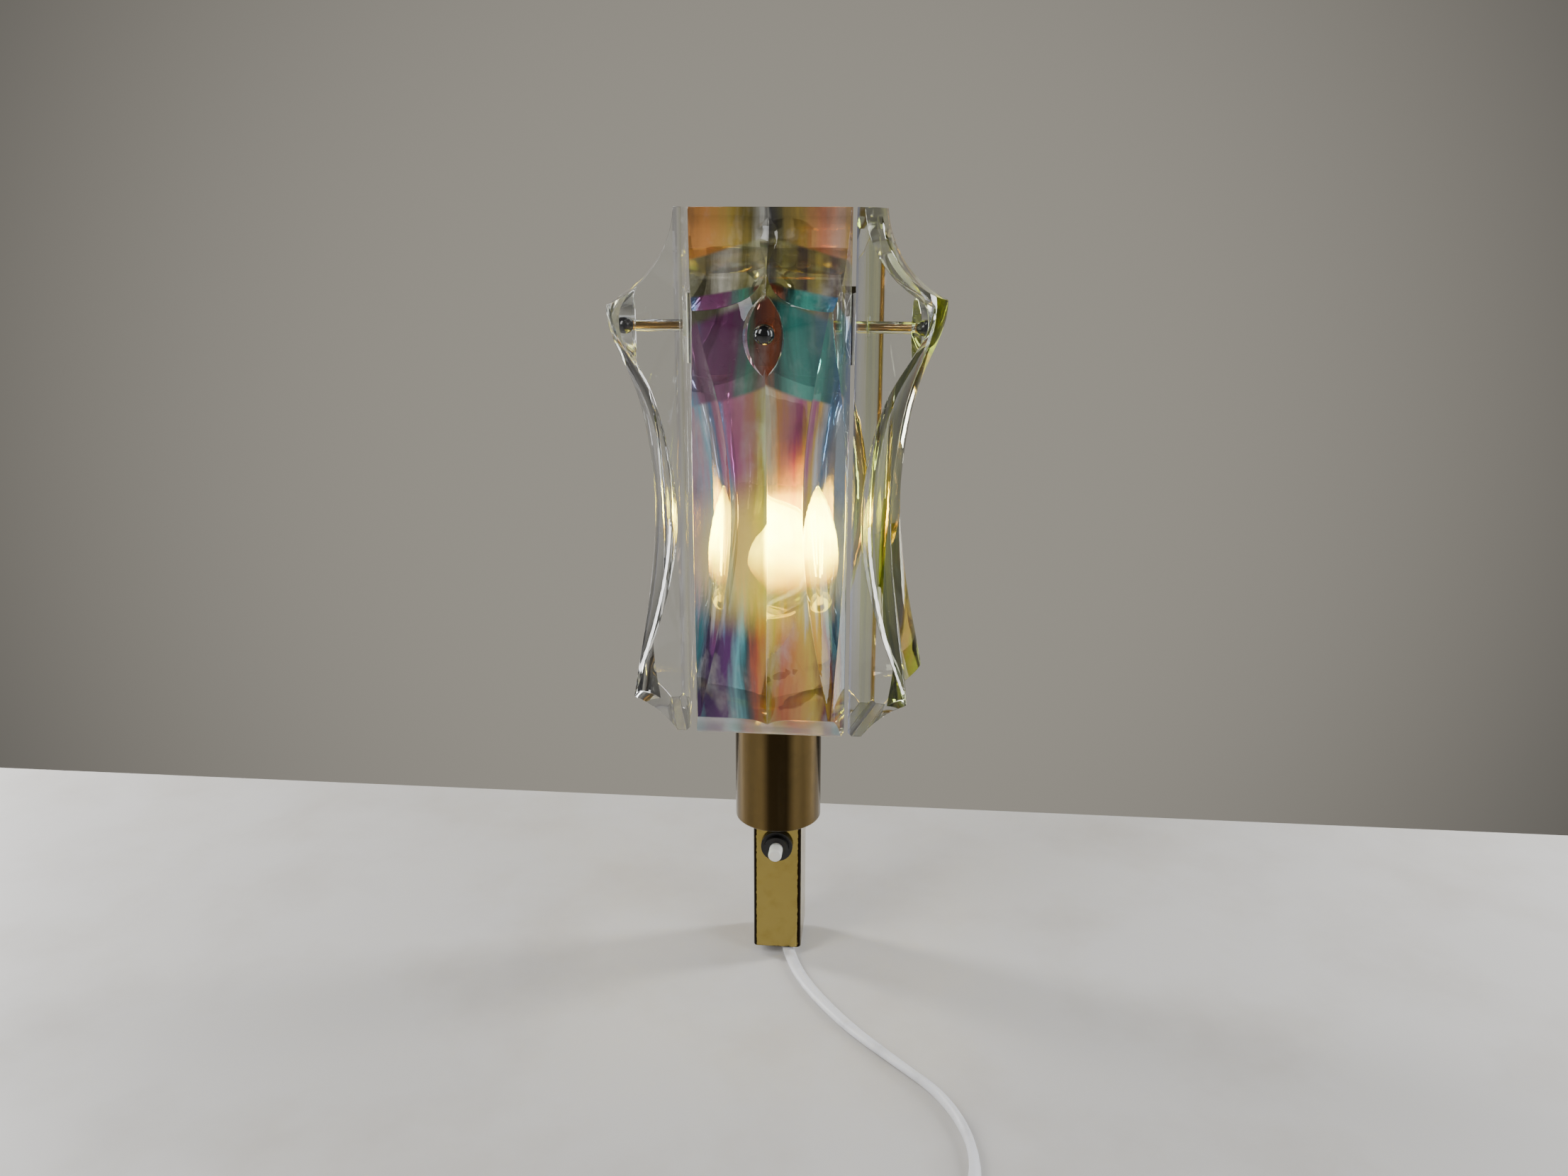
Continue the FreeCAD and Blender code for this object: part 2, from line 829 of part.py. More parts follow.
def holder_screw_holes(drawing, lamp_middle):
    """The two holes beside the wires, in a sketch whose middle is so far from the wall."""
    for sign in "+-":
        circle(
            drawing,
            f"{sign}holder_screw_out",
            f"{lamp_middle} - holder_screw_reach",
            "screw_diameter / 2 + screw_fit",
        )


def switch_box():
    """The slim brass box under the cup, open below for the mains lead."""
    body = new_body("switch_box")
    front = "(spine_thickness + box_depth)"
    shell = sketch(body, "XY_Plane")
    outline(shell, box_outline("box_width / 2", f"-{front}", "-spine_thickness"))
    pad(body, shell, "box_height")
    fillet(body, "box_corner", lambda edge: upright_before(edge, "spine_thickness"))
    room = sketch(body, "XY_Plane")
    corners = box_outline(
        "box_width / 2 - box_wall", f"-({front} - box_wall)", "-(spine_thickness + box_wall)"
    )
    outline(room, corners)
    cut(body, room, "box_height - box_top_wall")
    front_spots = flat_spots(corners[1:3])
    fillet(body, "box_inner_corner", lambda edge: upright_at(edge, front_spots))
    entry = sketch(body, "XY_Plane", "box_height - 2 * box_top_wall")
    circle(entry, "0", "-lamp_reach", "bush_radius + bush_fit")
    holder_screw_holes(entry, "0")
    cut(body, entry)
    switch_hole = sketch(body, "XZ_Plane", f"{front} - 2 * box_wall")
    circle(
        switch_hole,
        "0",
        "box_top_drop + box_height - switch_drop",
        "switch_neck_radius + switch_hole_fit",
    )
    cut(body, switch_hole)
    back_screws = sketch(body, "XZ_Plane")
    for number in range(2):
        rise = f"box_top_drop + box_height - box_screw_first_drop - {number} * box_screw_pitch"
        circle(back_screws, "0", rise, "screw_diameter / 2 + screw_fit")
    cut(body, back_screws, "spine_thickness + 2 * box_wall")
    place(body, rise="-(box_top_drop + box_height)")


def lamp_body(name):
    """A body whose upright axis is the lamp's and whose levels are below the pins."""
    body = new_body(name)
    place(body, reach="lamp_reach")
    return body


def spun(name, corners):
    """A turned piece on the lamp's axis, from corners of (radius, level)."""
    body = lamp_body(name)
    turned(body, outline(sketch(body, "XZ_Plane"), corners))
    return body


CUP_FLOOR_TOP = "(-box_top_drop + cup_floor)"
HOLDER_TOP = f"({CUP_FLOOR_TOP} + holder_height)"
DECK_BOTTOM = f"({CUP_FLOOR_TOP} + holder_base + holder_chamber_height)"
DECK_TOP = f"({DECK_BOTTOM} + holder_deck)"
CONTACT_TOP = f"({DECK_TOP} + contact_height)"
CAP_BOTTOM = f"({CONTACT_TOP} + cap_tip_height)"
CAP_TOP = f"({CAP_BOTTOM} + cap_length)"
COLLAR_TOP = f"({CAP_TOP} + collar_height)"


def cup():
    """The drawn brass cup that hides the lampholder."""
    inner = "(cup_radius - cup_wall)"
    body = spun(
        "cup",
        [
            ("0", "-box_top_drop"),
            ("cup_radius", "-box_top_drop"),
            ("cup_radius", "-box_top_drop + cup_height"),
            (inner, "-box_top_drop + cup_height"),
            (inner, CUP_FLOOR_TOP),
            ("0", CUP_FLOOR_TOP),
        ],
    )
    outer_edge = (amount("cup_radius"), -amount("box_top_drop"))
    fillet(body, "cup_edge", lambda edge: ring_at(edge, *outer_edge))
    holes = sketch(body, "XY_Plane", "-box_top_drop - cup_floor")
    circle(holes, "0", "0", "bush_radius + bush_fit")
    holder_screw_holes(holes, "lamp_reach")
    cut(body, holes, "3 * cup_floor")


def lampholder():
    """The moulded holder: a wiring chamber below, a deck, and the bulb's socket above."""
    body = spun(
        "lampholder",
        [
            ("bush_radius + bush_fit", CUP_FLOOR_TOP),
            ("holder_waist_radius", CUP_FLOOR_TOP),
            ("holder_waist_radius", f"{HOLDER_TOP} - holder_collar_height"),
            ("holder_radius", f"{HOLDER_TOP} - holder_collar_height"),
            ("holder_radius", HOLDER_TOP),
            ("shell_radius + shell_fit", HOLDER_TOP),
            ("shell_radius + shell_fit", DECK_TOP),
            ("contact_pin_radius + shell_fit", DECK_TOP),
            ("contact_pin_radius + shell_fit", DECK_BOTTOM),
            ("holder_chamber_radius", DECK_BOTTOM),
            ("holder_chamber_radius", f"{CUP_FLOOR_TOP} + holder_base"),
            ("bush_radius + bush_fit", f"{CUP_FLOOR_TOP} + holder_base"),
        ],
    )
    rim = (amount("holder_radius"), amount(HOLDER_TOP))
    fillet(body, "cup_edge", lambda edge: ring_at(edge, *rim))
    holes = sketch(body, "XY_Plane", f"{CUP_FLOOR_TOP} - holder_base")
    holder_screw_holes(holes, "lamp_reach")
    cut(body, holes, "holder_base + holder_screw_bite + screw_fit")


def socket():
    """The threaded shell, the middle contact and the bush that the wires pass through."""
    spun(
        "socket_shell",
        [
            ("shell_radius - shell_wall", DECK_TOP),
            ("shell_radius", DECK_TOP),
            ("shell_radius", f"{HOLDER_TOP} - shell_rim_gap"),
            ("shell_radius - shell_wall", f"{HOLDER_TOP} - shell_rim_gap"),
        ],
    )
    spun(
        "socket_contact",
        [
            ("0", f"{DECK_BOTTOM} - contact_foot"),
            ("contact_radius", f"{DECK_BOTTOM} - contact_foot"),
            ("contact_radius", DECK_BOTTOM),
            ("contact_pin_radius", DECK_BOTTOM),
            ("contact_pin_radius", DECK_TOP),
            ("contact_radius", DECK_TOP),
            ("contact_radius", CONTACT_TOP),
            ("0", CONTACT_TOP),
        ],
    )
    under_top = "(-box_top_drop - box_top_wall)"
    spun(
        "wire_bush",
        [
            ("bush_bore_radius", f"{under_top} - bush_flange"),
            ("bush_flange_radius", f"{under_top} - bush_flange"),
            ("bush_flange_radius", under_top),
            ("bush_radius", under_top),
            ("bush_radius", f"{CUP_FLOOR_TOP} + holder_base"),
            ("bush_bore_radius", f"{CUP_FLOOR_TOP} + holder_base"),
        ],
    )


def bulb():
    """The candle bulb: threaded cap, collar, glass, and the stem with its filaments."""
    spun(
        "bulb_cap",
        [
            ("0", CONTACT_TOP),
            ("cap_tip_radius", CONTACT_TOP),
            ("cap_radius", CAP_BOTTOM),
            ("cap_radius", CAP_TOP),
            ("0", CAP_TOP),
        ],
    )
    glass_foot = f"({COLLAR_TOP} - cap_glass_height)"
    spun(
        "bulb_collar",
        [
            ("0", CAP_TOP),
            ("collar_foot_radius", CAP_TOP),
            ("collar_radius", COLLAR_TOP),
            ("collar_radius - glass_wall", COLLAR_TOP),
            ("collar_radius - glass_wall", glass_foot),
            ("0", glass_foot),
        ],
    )
    widest = f"({glass_foot} + glass_widest_rise)"
    tip = f"({glass_foot} + glass_tip_rise)"
    neck = "(collar_radius - glass_wall)"
    spun(
        "bulb_glass",
        [
            (f"{neck} - glass_wall", glass_foot),
            (neck, glass_foot),
            (neck, COLLAR_TOP, "glass_shoulder_radius", "left"),
            ("glass_radius", widest, "glass_flank_radius", "left"),
            ("glass_tip_radius", tip),
            ("0", tip),
            ("0", f"{tip} - glass_wall"),
            ("glass_tip_radius / 2", f"{tip} - glass_wall", "glass_flank_radius", "right"),
            ("glass_radius - glass_wall", widest, "glass_shoulder_radius", "right"),
            (f"{neck} - glass_wall", COLLAR_TOP),
        ],
    )
    spun(
        "bulb_stem",
        [
            ("0", glass_foot),
            ("stem_radius", glass_foot),
            ("stem_top_radius", f"{glass_foot} + stem_height"),
            ("0", f"{glass_foot} + stem_height"),
        ],
    )


def filaments():
    """Four light strips that lean in towards the top of the glass stem."""
    strips = []
    foot_level = f"{COLLAR_TOP} - cap_glass_height + stem_height * 0.75"
    for number in range(4):
        around = Rotation(UP, 45 + 90 * number)
        outward = around.multVec(Vector(amount("filament_foot_out"), 0, 0))
        foot = spot("0", "lamp_reach", foot_level) + outward
        lean = math.radians(amount("filament_lean"))
        upward = around.multVec(Vector(math.sin(lean), 0, math.cos(lean)))
        name = f"filament_{number}"
        strips.append(cylinder(name, "filament_radius", "filament_height", foot, upward))
    NODES["bulb_filaments"] = joined("bulb_filaments", strips, "Part::Compound")


switch_box()
cup()
lampholder()
socket()
bulb()
filaments()


# ---------------------------------------------------------------- push switch

BOX_FRONT = "(spine_thickness + box_depth)"
BODY_FRONT = f"({BOX_FRONT} - box_wall)"


def switch_turning(name, corners):
    """A turned piece on the switch's axis, from corners of (radius, distance from the wall).
    It is spun about an upright axis and then tipped to point out of the box."""
    body = new_body(name)
    turned(body, outline(sketch(body, "XZ_Plane"), corners))
    body.Placement = Placement(Vector(), Rotation(Vector(1, 0, 0), 90))
    bind(body, {"Placement.Base.z": "-switch_drop - keyhole_rise"})
    return body


def push_switch():
    """The switch's body with its lugs, its ring nut and the button that slides in it."""
    back = f"({BODY_FRONT} - switch_length)"
    neck_end = f"({BODY_FRONT} + switch_neck_length)"
    chamber_front = f"({BODY_FRONT} - switch_chamber_start)"
    chamber_back = f"({BODY_FRONT} - switch_chamber_end)"
    bore = "(button_radius + button_fit)"
    body = switch_turning(
        "switch_body",
        [
            ("0", back),
            ("switch_radius", back),
            ("switch_radius", BODY_FRONT),
            ("switch_neck_radius", BODY_FRONT),
            ("switch_neck_radius", neck_end),
            (bore, neck_end),
            (bore, chamber_front),
            ("switch_chamber_radius", chamber_front),
            ("switch_chamber_radius", chamber_back),
            ("0", chamber_back),
        ],
    )
    lugs = sketch(body, "XY_Plane", f"{back} - switch_lug_length")
    for sign in (1, -1):
        inner = f"{sign} * (switch_lug_out - switch_lug_width / 2)"
        outer = f"{sign} * (switch_lug_out + switch_lug_width / 2)"
        half = "switch_lug_thickness / 2"
        outline(lugs, [(inner, f"-{half}"), (outer, f"-{half}"), (outer, half), (inner, half)])
    pad(body, lugs, "switch_lug_length + switch_length / 10")
    switch_turning(
        "switch_nut",
        [
            ("switch_neck_radius + screw_fit", BOX_FRONT),
            ("switch_nut_radius", BOX_FRONT),
            ("switch_nut_radius", f"{BOX_FRONT} + switch_nut_thickness"),
            ("switch_neck_radius + screw_fit", f"{BOX_FRONT} + switch_nut_thickness"),
        ],
    )
    tip = f"({neck_end} + button_stand_out)"
    button = switch_turning(
        "switch_button",
        [
            ("0", f"{chamber_front} - button_flange"),
            ("button_flange_radius", f"{chamber_front} - button_flange"),
            ("button_flange_radius", chamber_front),
            ("button_radius", chamber_front),
            ("button_radius", tip),
            ("0", tip),
        ],
    )
    end = (amount("button_radius"), amount(tip))
    fillet(button, "button_round", lambda edge: ring_at(edge, *end))


def button_spring():
    """The coil spring behind the button, one unbroken wire."""
    wire = amount("spring_wire")
    radius = amount("spring_radius")
    front = amount(f"{BODY_FRONT} - switch_chamber_start - button_flange") - wire / 2
    back = amount(f"{BODY_FRONT} - switch_chamber_end") + wire / 2
    turns = amount("spring_turns")
    helix = Part.makeHelix((front - back) / turns, front - back, radius)
    section = Part.Wire(Part.makeCircle(wire / 2, Vector(radius, 0, 0), Vector(0, 1, 0)))
    coil = Part.Wire(helix).makePipeShell([section], True, True)
    node = feature("button_spring", coil)
    node.Placement = Placement(
        Vector(0, -back, -amount("switch_drop + keyhole_rise")), Rotation(Vector(1, 0, 0), 90)
    )


push_switch()
button_spring()


# ---------------------------------------------------------------- wiring inside the box

INNER_BACK = "(spine_thickness + box_wall)"


def terminal_block():
    """The two-way terminal block on the box's back wall."""
    body = new_body("terminal_block")
    block = sketch(body, "XY_Plane")
    outline(
        block,
        box_outline("block_width / 2", f"-({INNER_BACK} + block_depth)", f"-{INNER_BACK}"),
    )
    pad(body, block, "block_height")
    clamps = sketch(body, "XZ_Plane", f"{INNER_BACK} + block_depth / 2")
    for sign in "+-":
        circle(clamps, f"{sign}block_width / 4", "block_height / 2", "block_bore / 2")
    cut(body, clamps)
    chamfer(body, "block_bore / 4", lambda edge: upright_before(edge, INNER_BACK))
    place(body, rise="-block_drop")


def cord_grip():
    """The clamp in the mouth of the box that holds the mains lead."""
    body = new_body("cord_grip")
    block = sketch(body, "XY_Plane")
    outline(
        block,
        box_outline("grip_width / 2", f"-({INNER_BACK} + grip_depth)", f"-{INNER_BACK}"),
    )
    pad(body, block, "grip_height")
    fillet(body, "box_corner", lambda edge: upright_before(edge, INNER_BACK))
    channel = sketch(body, "XY_Plane", "cord_diameter / 2")
    circle(channel, str(CORD_ROUTE[0][0]), str(CORD_ROUTE[0][1]), "cord_diameter / 2")
    cut(body, channel)
    place(body, rise="-grip_drop")


# Middle line of the lead where it isn't coiled: out of the grip, down, forward under
# the front of the box and over the table to where it is coiled.
CORD_ROUTE = [
    (1.7, -10, -276),
    (1.7, -10, -280.6),
    (2.2, -12.6, -284),
    (3.3, -17.6, -285.2),
    (5.4, -26.5, -285.2),
    (10.2, -41, -285.2),
    (19.4, -57.5, -285.2),
    (33.8, -77.2, -285.2),
    (52.4, -96.6, -285.2),
    (67, -112.2, -285.2),
    (75.2, -129.5, -285.2),
    (78.4, -147, -285.2),
    (79, -165, -285.2),
    (79, -182, -285.2),
]

# The wires inside the box, from the terminal block up into the lampholder.
LEAD_ROUTES = {
    "to_switch": [(4, -7.4, -246), (4.01, -7.4, -242), (4, -7.4, -235.65)],
    "from_switch": [
        (-4, -7.4, -234.3),
        (-4, -7, -229.5),
        (-3.4, -9.5, -227.1),
        (-1.4, -14.5, -226.7),
        (-1.2, -20.2, -226.4),
        (-1.2, -21, -222.5),
        (-1.2, -21, -214),
        (-1.3, -21, -205),
        (-1.2, -21, -197.3),
    ],
    "to_shell": [
        (0.4, -6.4, -246),
        (0.5, -6.4, -238),
        (0.5, -6.3, -229),
        (0.9, -9.5, -226.8),
        (1.3, -14.5, -226.7),
        (1.2, -20.2, -226.4),
        (1.2, -21, -222.5),
        (1.2, -21, -214),
        (1.3, -21, -206),
        (6.2, -21, -200.3),
        (6.2, -21, -195.8),
    ],
}


def leads():
    """The insulated wires, each one tube."""
    wires = []
    for points in LEAD_ROUTES.values():
        edges, _ = rounded_route([Vector(*point) for point in points])
        wires.append(tube(edges, amount("lead_diameter")))
    feature("leads", Part.makeCompound(wires))


terminal_block()
cord_grip()
leads()


# ---------------------------------------------------------------- mains lead and plug

def free_cord():
    """The stretch that lies open, from the grip to the coil."""
    edges, radii = rounded_route([Vector(*point) for point in CORD_ROUTE])
    print("cord bend radii", [round(radius, 1) for radius in radii])
    print("free cord length", round(sum(edge.Length for edge in edges)))
    feature("cord_free", tube(edges, amount("cord_diameter")))


def half_turn(start, end, heading):
    """Two quarter arcs from start to end that leave with the heading and arrive against it."""
    reach = (end - start).Length / 2
    corners = (start + heading * reach, end + heading * reach)
    middle = (corners[0] + corners[1]) / 2
    return [arc_edge(start, corners[0], middle)[0], arc_edge(middle, corners[1], end)[0]]


def coil_route():
    """Spirals in on the table, climbs a layer, and spirals out again on top."""
    entry = Vector(*CORD_ROUTE[-1])
    diameter = amount("cord_diameter")
    pitch = diameter + amount("coil_gap")
    outer = amount("coil_outer_radius")
    count = int(amount("coil_half_turns"))
    middle = entry - Vector(outer, diameter, 0)
    top = entry.z + amount("plug_thickness / 2 - cord_diameter / 2")
    inward = [(outer - number * pitch / 2, entry.z) for number in range(count + 1)]
    innermost = inward[-1][0] - pitch / 2
    outward = [(innermost + pitch * (number / 2 + 0.5), top) for number in range(1, count)]
    spiral = inward + [(innermost, top)] + outward
    points = [
        middle + Vector(radius * (-1) ** number, 0, level - entry.z)
        for number, (radius, level) in enumerate(spiral)
    ]
    edges = [Part.LineSegment(entry, points[0]).toShape()]
    for number, (start, end) in enumerate(zip(points, points[1:])):
        edges += half_turn(start, end, Vector(0, -1 if number % 2 == 0 else 1, 0))
    finish = points[-1] + Vector(0, -diameter, 0)
    edges.append(Part.LineSegment(points[-1], finish).toShape())
    return edges, finish


def least_gap(edges, diameter):
    """Least distance of a tube to itself, between points half a turn or more apart."""
    spots = []
    travelled = 0
    for edge in edges:
        steps = max(1, int(edge.Length / 2))
        for number, point in enumerate(edge.discretize(steps + 1)[:-1]):
            spots.append((travelled + edge.Length * number / steps, point))
        travelled += edge.Length
    apart = 8 * diameter
    return min(
        (first - second).Length
        for number, (place_one, first) in enumerate(spots)
        for place_two, second in spots[number + 1:]
        if place_two - place_one > apart
    ) - diameter


def coil():
    """The rest of the lead, wound in two layers just past what the photograph shows."""
    edges, finish = coil_route()
    diameter = amount("cord_diameter")
    print("coil length", round(sum(edge.Length for edge in edges)))
    print("coil's least gap to itself", round(least_gap(edges, diameter), 2))
    feature("cord_coil", tube(edges, diameter))
    return finish


# Middle line of the end of the lead, from the coil to the plug, as steps from its start.
TAIL_ROUTE = [(0, 0, 0), (0, -7, 0), (-2.4, -16, 0), (-5.2, -24.5, 0), (-5.2, -33, 0)]


def cord_tail(start):
    """The last stretch, from the top of the coil to the plug."""
    points = [start + Vector(*step) for step in TAIL_ROUTE]
    edges, radii = rounded_route(points)
    print("tail bend radii", [round(radius, 1) for radius in radii])
    feature("cord_tail", tube(edges, amount("cord_diameter")))
    return points[-1]


def plug(entry):
    """The flat two-pin plug that the lead ends in, with its pins pointing away."""
    body = new_body("plug_body")
    shape = sketch(body, "XY_Plane")
    neck = "(plug_neck_width / 2)"
    nose = "(plug_nose_width / 2)"
    flank = "(plug_width / 2)"
    shoulder = "(plug_neck_length + plug_width / 2)"
    outline(
        shape,
        [
            (f"-{neck}", "0"),
            (f"-{neck}", "-plug_neck_length"),
            (f"-{flank}", f"-{shoulder}"),
            (f"-{nose}", "-plug_length"),
            (nose, "-plug_length"),
            (flank, f"-{shoulder}"),
            (neck, "-plug_neck_length"),
            (neck, "0"),
        ],
    )
    pad(body, shape, "plug_thickness", both_ways=True)
    fillet(body, "plug_corner", upright)
    body.Placement = Placement(entry, Rotation())
    pins = []
    for number, sign in enumerate((1, -1)):
        root = entry + Vector(sign * amount("plug_pin_spacing") / 2, -amount("plug_length"), 0)
        name = f"plug_pin_{number}"
        pins.append(cylinder(name, "plug_pin_diameter / 2", "plug_pin_length", root, FRONT))
    NODES["plug_pins"] = joined("plug_pins", pins, "Part::Compound")


free_cord()
plug(cord_tail(coil()))


# ---------------------------------------------------------------- check and write

doc.recompute()
broken = [thing.Name for thing in doc.Objects if {"Invalid", "Error"} & set(thing.State)]
assert not broken, f"these objects failed: {broken}"
for name, node in NODES.items():
    node.Label = name
    assert not node.Shape.isNull() and node.Shape.isValid(), f"{name} has no valid shape"
    assert node.Shape.Solids, f"{name} holds no solid"
os.makedirs("parts", exist_ok=True)
for name, node in NODES.items():
    node.Shape.exportStep(f"parts/{name}.step")
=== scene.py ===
import math

import bmesh
import bpy
from bpy.props import FloatProperty, FloatVectorProperty, PointerProperty, StringProperty
from mathutils import Matrix, Vector


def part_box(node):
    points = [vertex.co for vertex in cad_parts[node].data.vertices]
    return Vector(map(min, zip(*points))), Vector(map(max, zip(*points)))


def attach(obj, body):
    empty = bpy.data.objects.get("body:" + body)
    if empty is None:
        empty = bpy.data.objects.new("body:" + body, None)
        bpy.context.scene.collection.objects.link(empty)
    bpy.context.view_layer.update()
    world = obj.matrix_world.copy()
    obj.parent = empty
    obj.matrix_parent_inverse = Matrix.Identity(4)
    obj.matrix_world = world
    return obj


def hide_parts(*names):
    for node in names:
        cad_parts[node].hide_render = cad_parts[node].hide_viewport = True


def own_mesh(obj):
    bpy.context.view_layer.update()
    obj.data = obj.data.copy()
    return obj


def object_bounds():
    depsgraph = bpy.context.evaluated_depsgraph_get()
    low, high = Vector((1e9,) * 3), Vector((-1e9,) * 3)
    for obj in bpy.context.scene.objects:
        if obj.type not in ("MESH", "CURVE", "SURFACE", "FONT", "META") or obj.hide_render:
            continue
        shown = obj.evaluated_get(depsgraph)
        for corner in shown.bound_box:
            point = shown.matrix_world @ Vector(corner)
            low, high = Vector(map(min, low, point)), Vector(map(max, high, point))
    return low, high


bl_info = {
    "name": "Crystal wall sconce",
    "version": (1, 0, 0),
    "blender": (4, 5, 0),
    "location": "View3D > Sidebar > Sconce",
    "description": "Dresses a crystal wall sconce and sets its stage",
    "category": "Object",
}

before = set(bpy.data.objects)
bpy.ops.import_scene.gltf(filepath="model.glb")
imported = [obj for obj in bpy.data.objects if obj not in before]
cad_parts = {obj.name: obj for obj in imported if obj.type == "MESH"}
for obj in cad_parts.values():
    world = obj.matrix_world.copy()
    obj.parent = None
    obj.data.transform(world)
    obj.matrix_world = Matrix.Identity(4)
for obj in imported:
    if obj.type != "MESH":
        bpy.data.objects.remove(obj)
CAD_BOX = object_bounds()

MM = 0.001
FLOOR_LEVEL = CAD_BOX[0].z

# The pins that the crystals hang on, in metres, and how far each crystal is turned.
PIN_LEVEL = -0.022
SIDE_TURN = math.radians(82.5)
HANGING = {
    "crystal_front": ((0, -0.056, PIN_LEVEL), 0.0),
    "crystal_left": ((-0.0332, -0.0328, PIN_LEVEL), -SIDE_TURN),
    "crystal_right": ((0.0332, -0.0328, PIN_LEVEL), SIDE_TURN),
}

# Half the width of a prism's back, and how far its cut edges are eased where they can be.
HALF_PRISM = 28 * MM
PRISM_EASE = 0.35 * MM
# A copied mesh is joined within this distance, and shaded smooth below this angle.
JOIN_DISTANCE = 0.002 * MM
SMOOTH_ANGLE = math.radians(30)
# What the lights are aimed at, behind the front crystal.
LIT_PLACE = Vector((0, -0.03, -0.12))
# Height of the middle of the lit strips, in metres.
LAMP_LEVEL = -0.102
# The front of the switch box, and its side.
BOX_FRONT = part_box("switch_box")[0].y
BOX_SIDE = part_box("switch_box")[1].x
# How much of the colour film each crystal keeps; seen along its back, it looks clear.
FILM_DEPTH = {"crystal_front": 1.0, "crystal_left": 0.3, "crystal_right": 1.0}
# How far the lamp lights the film, in millimetres, and how strongly near it and far from it.
GLOWS = {"front": (48, 0.42, 0.2), "side": (50, 0.12, 0.02)}

# Middle line of the lead over the table in millimetres, from the clamp in the box to
# the coil, with how far its flat side is turned from lying down, in degrees.
LEAD_ROUTE = (
    (1.7, -10, -276, 0),
    (1.7, -10, -280.6, 0),
    (2.2, -12.6, -284, 0),
    (3.3, -17.6, -285.4, 0),
    (5.4, -26.5, -285.4, 0),
    (10.2, -41, -285.4, 0),
    (19.4, -57.5, -285.4, 0),
    (33.8, -77.2, -285.4, 5),
    (52.4, -96.6, -285.2, 30),
    (67, -112.2, -284.8, 75),
    (75.2, -129.5, -284.8, 85),
    (77.8, -146, -284.9, 60),
    (75.6, -160.5, -285.2, 15),
    (72.2, -174, -285.2, 0),
    (72, -188, -285.2, 0),
)
# Steps in millimetres over the coil's end, from there to the plug.
TAIL_STEPS = ((0.1, -7), (0.9, -14), (1.8, -20.5), (1.8, -27))
# The coil winds inward on the table and outward on top, in so many half turns each way.
HALF_TURNS_IN = 9
HALF_TURNS_OUT = 7
LAYER_RISE = 4.85 * MM
POINTS_PER_HALF_TURN = 8
# The open run of the lead lies within so many points of its line's start, and the lead
# takes on its coiled section over so many points.
OPEN_POINTS = 140
SETTLING_POINTS = 8

# The film's colours across the back of the front crystal, in five zones from its head
# to its foot, and across the backs of the two side crystals: place from 0 to 1, and colour.
HEAD_COLOURS = (
    (0.0, "#B8742C"), (0.1, "#D88838"), (0.24, "#B89838"), (0.38, "#6E6228"), (0.46, "#C8C8C0"),
    (0.5, "#26262C"), (0.56, "#4C4822"), (0.68, "#A88830"), (0.82, "#D87C50"),
    (0.93, "#D0A088"), (1.0, "#B89048"),
)
SMOKE_COLOURS = (
    (0.0, "#88886C"), (0.12, "#6A6448"), (0.22, "#D0CCBC"), (0.34, "#74703C"), (0.44, "#A8A888"),
    (0.5, "#38383C"), (0.58, "#8C8640"), (0.7, "#50403C"), (0.8, "#A89C50"),
    (0.9, "#6C5C58"), (1.0, "#9C9C84"),
)
PIN_COLOURS = (
    (0.0, "#48A0C8"), (0.1, "#88487C"), (0.24, "#7C3068"), (0.34, "#3C8870"), (0.44, "#6C3424"),
    (0.54, "#9C5028"), (0.6, "#143C38"), (0.72, "#48B0A0"), (0.82, "#2C807C"),
    (0.92, "#3C70A8"), (1.0, "#5C74A8"),
)
MIDDLE_COLOURS = (
    (0.0, "#B890A8"), (0.06, "#78B8D8"), (0.12, "#C8C8D8"), (0.17, "#5888C0"), (0.22, "#B85090"),
    (0.31, "#C87890"), (0.38, "#C88868"), (0.43, "#C0AC38"), (0.47, "#D8D890"), (0.55, "#E8E8C8"),
    (0.61, "#E0A058"), (0.68, "#D08C94"), (0.73, "#B03C84"), (0.78, "#E0B040"), (0.84, "#D8DCE4"),
    (0.9, "#4C90C0"), (1.0, "#8898A8"),
)
FOOT_COLOURS = (
    (0.0, "#207890"), (0.07, "#2C1448"), (0.2, "#480C60"), (0.27, "#68B0BC"), (0.32, "#204850"),
    (0.38, "#B04C28"), (0.45, "#B89824"), (0.5, "#DCB8A0"), (0.57, "#B09420"), (0.65, "#C04414"),
    (0.74, "#D88838"), (0.82, "#DCB83C"), (0.89, "#702430"), (0.95, "#3C8090"), (1.0, "#506888"),
)
LEFT_COLOURS = (
    (0.0, "#B8B8E8"), (0.3, "#F0F4F4"), (0.6, "#EEF0D8"), (0.85, "#D0D890"), (1.0, "#C8C070"),
)
RIGHT_COLOURS = (
    (0.0, "#D4D8F0"), (0.2, "#F4F8F8"), (0.36, "#F0F2D0"), (0.46, "#C0D020"), (0.6, "#86A008"),
    (0.74, "#D0D810"), (0.88, "#90A008"), (1.0, "#C08C18"),
)


# ------------------------------------------------------------------ settings

def colour_property(name, description, hexcode):
    """A colour that a user may change, written as a hex value."""
    return StringProperty(name=name, description=description, default=hexcode)


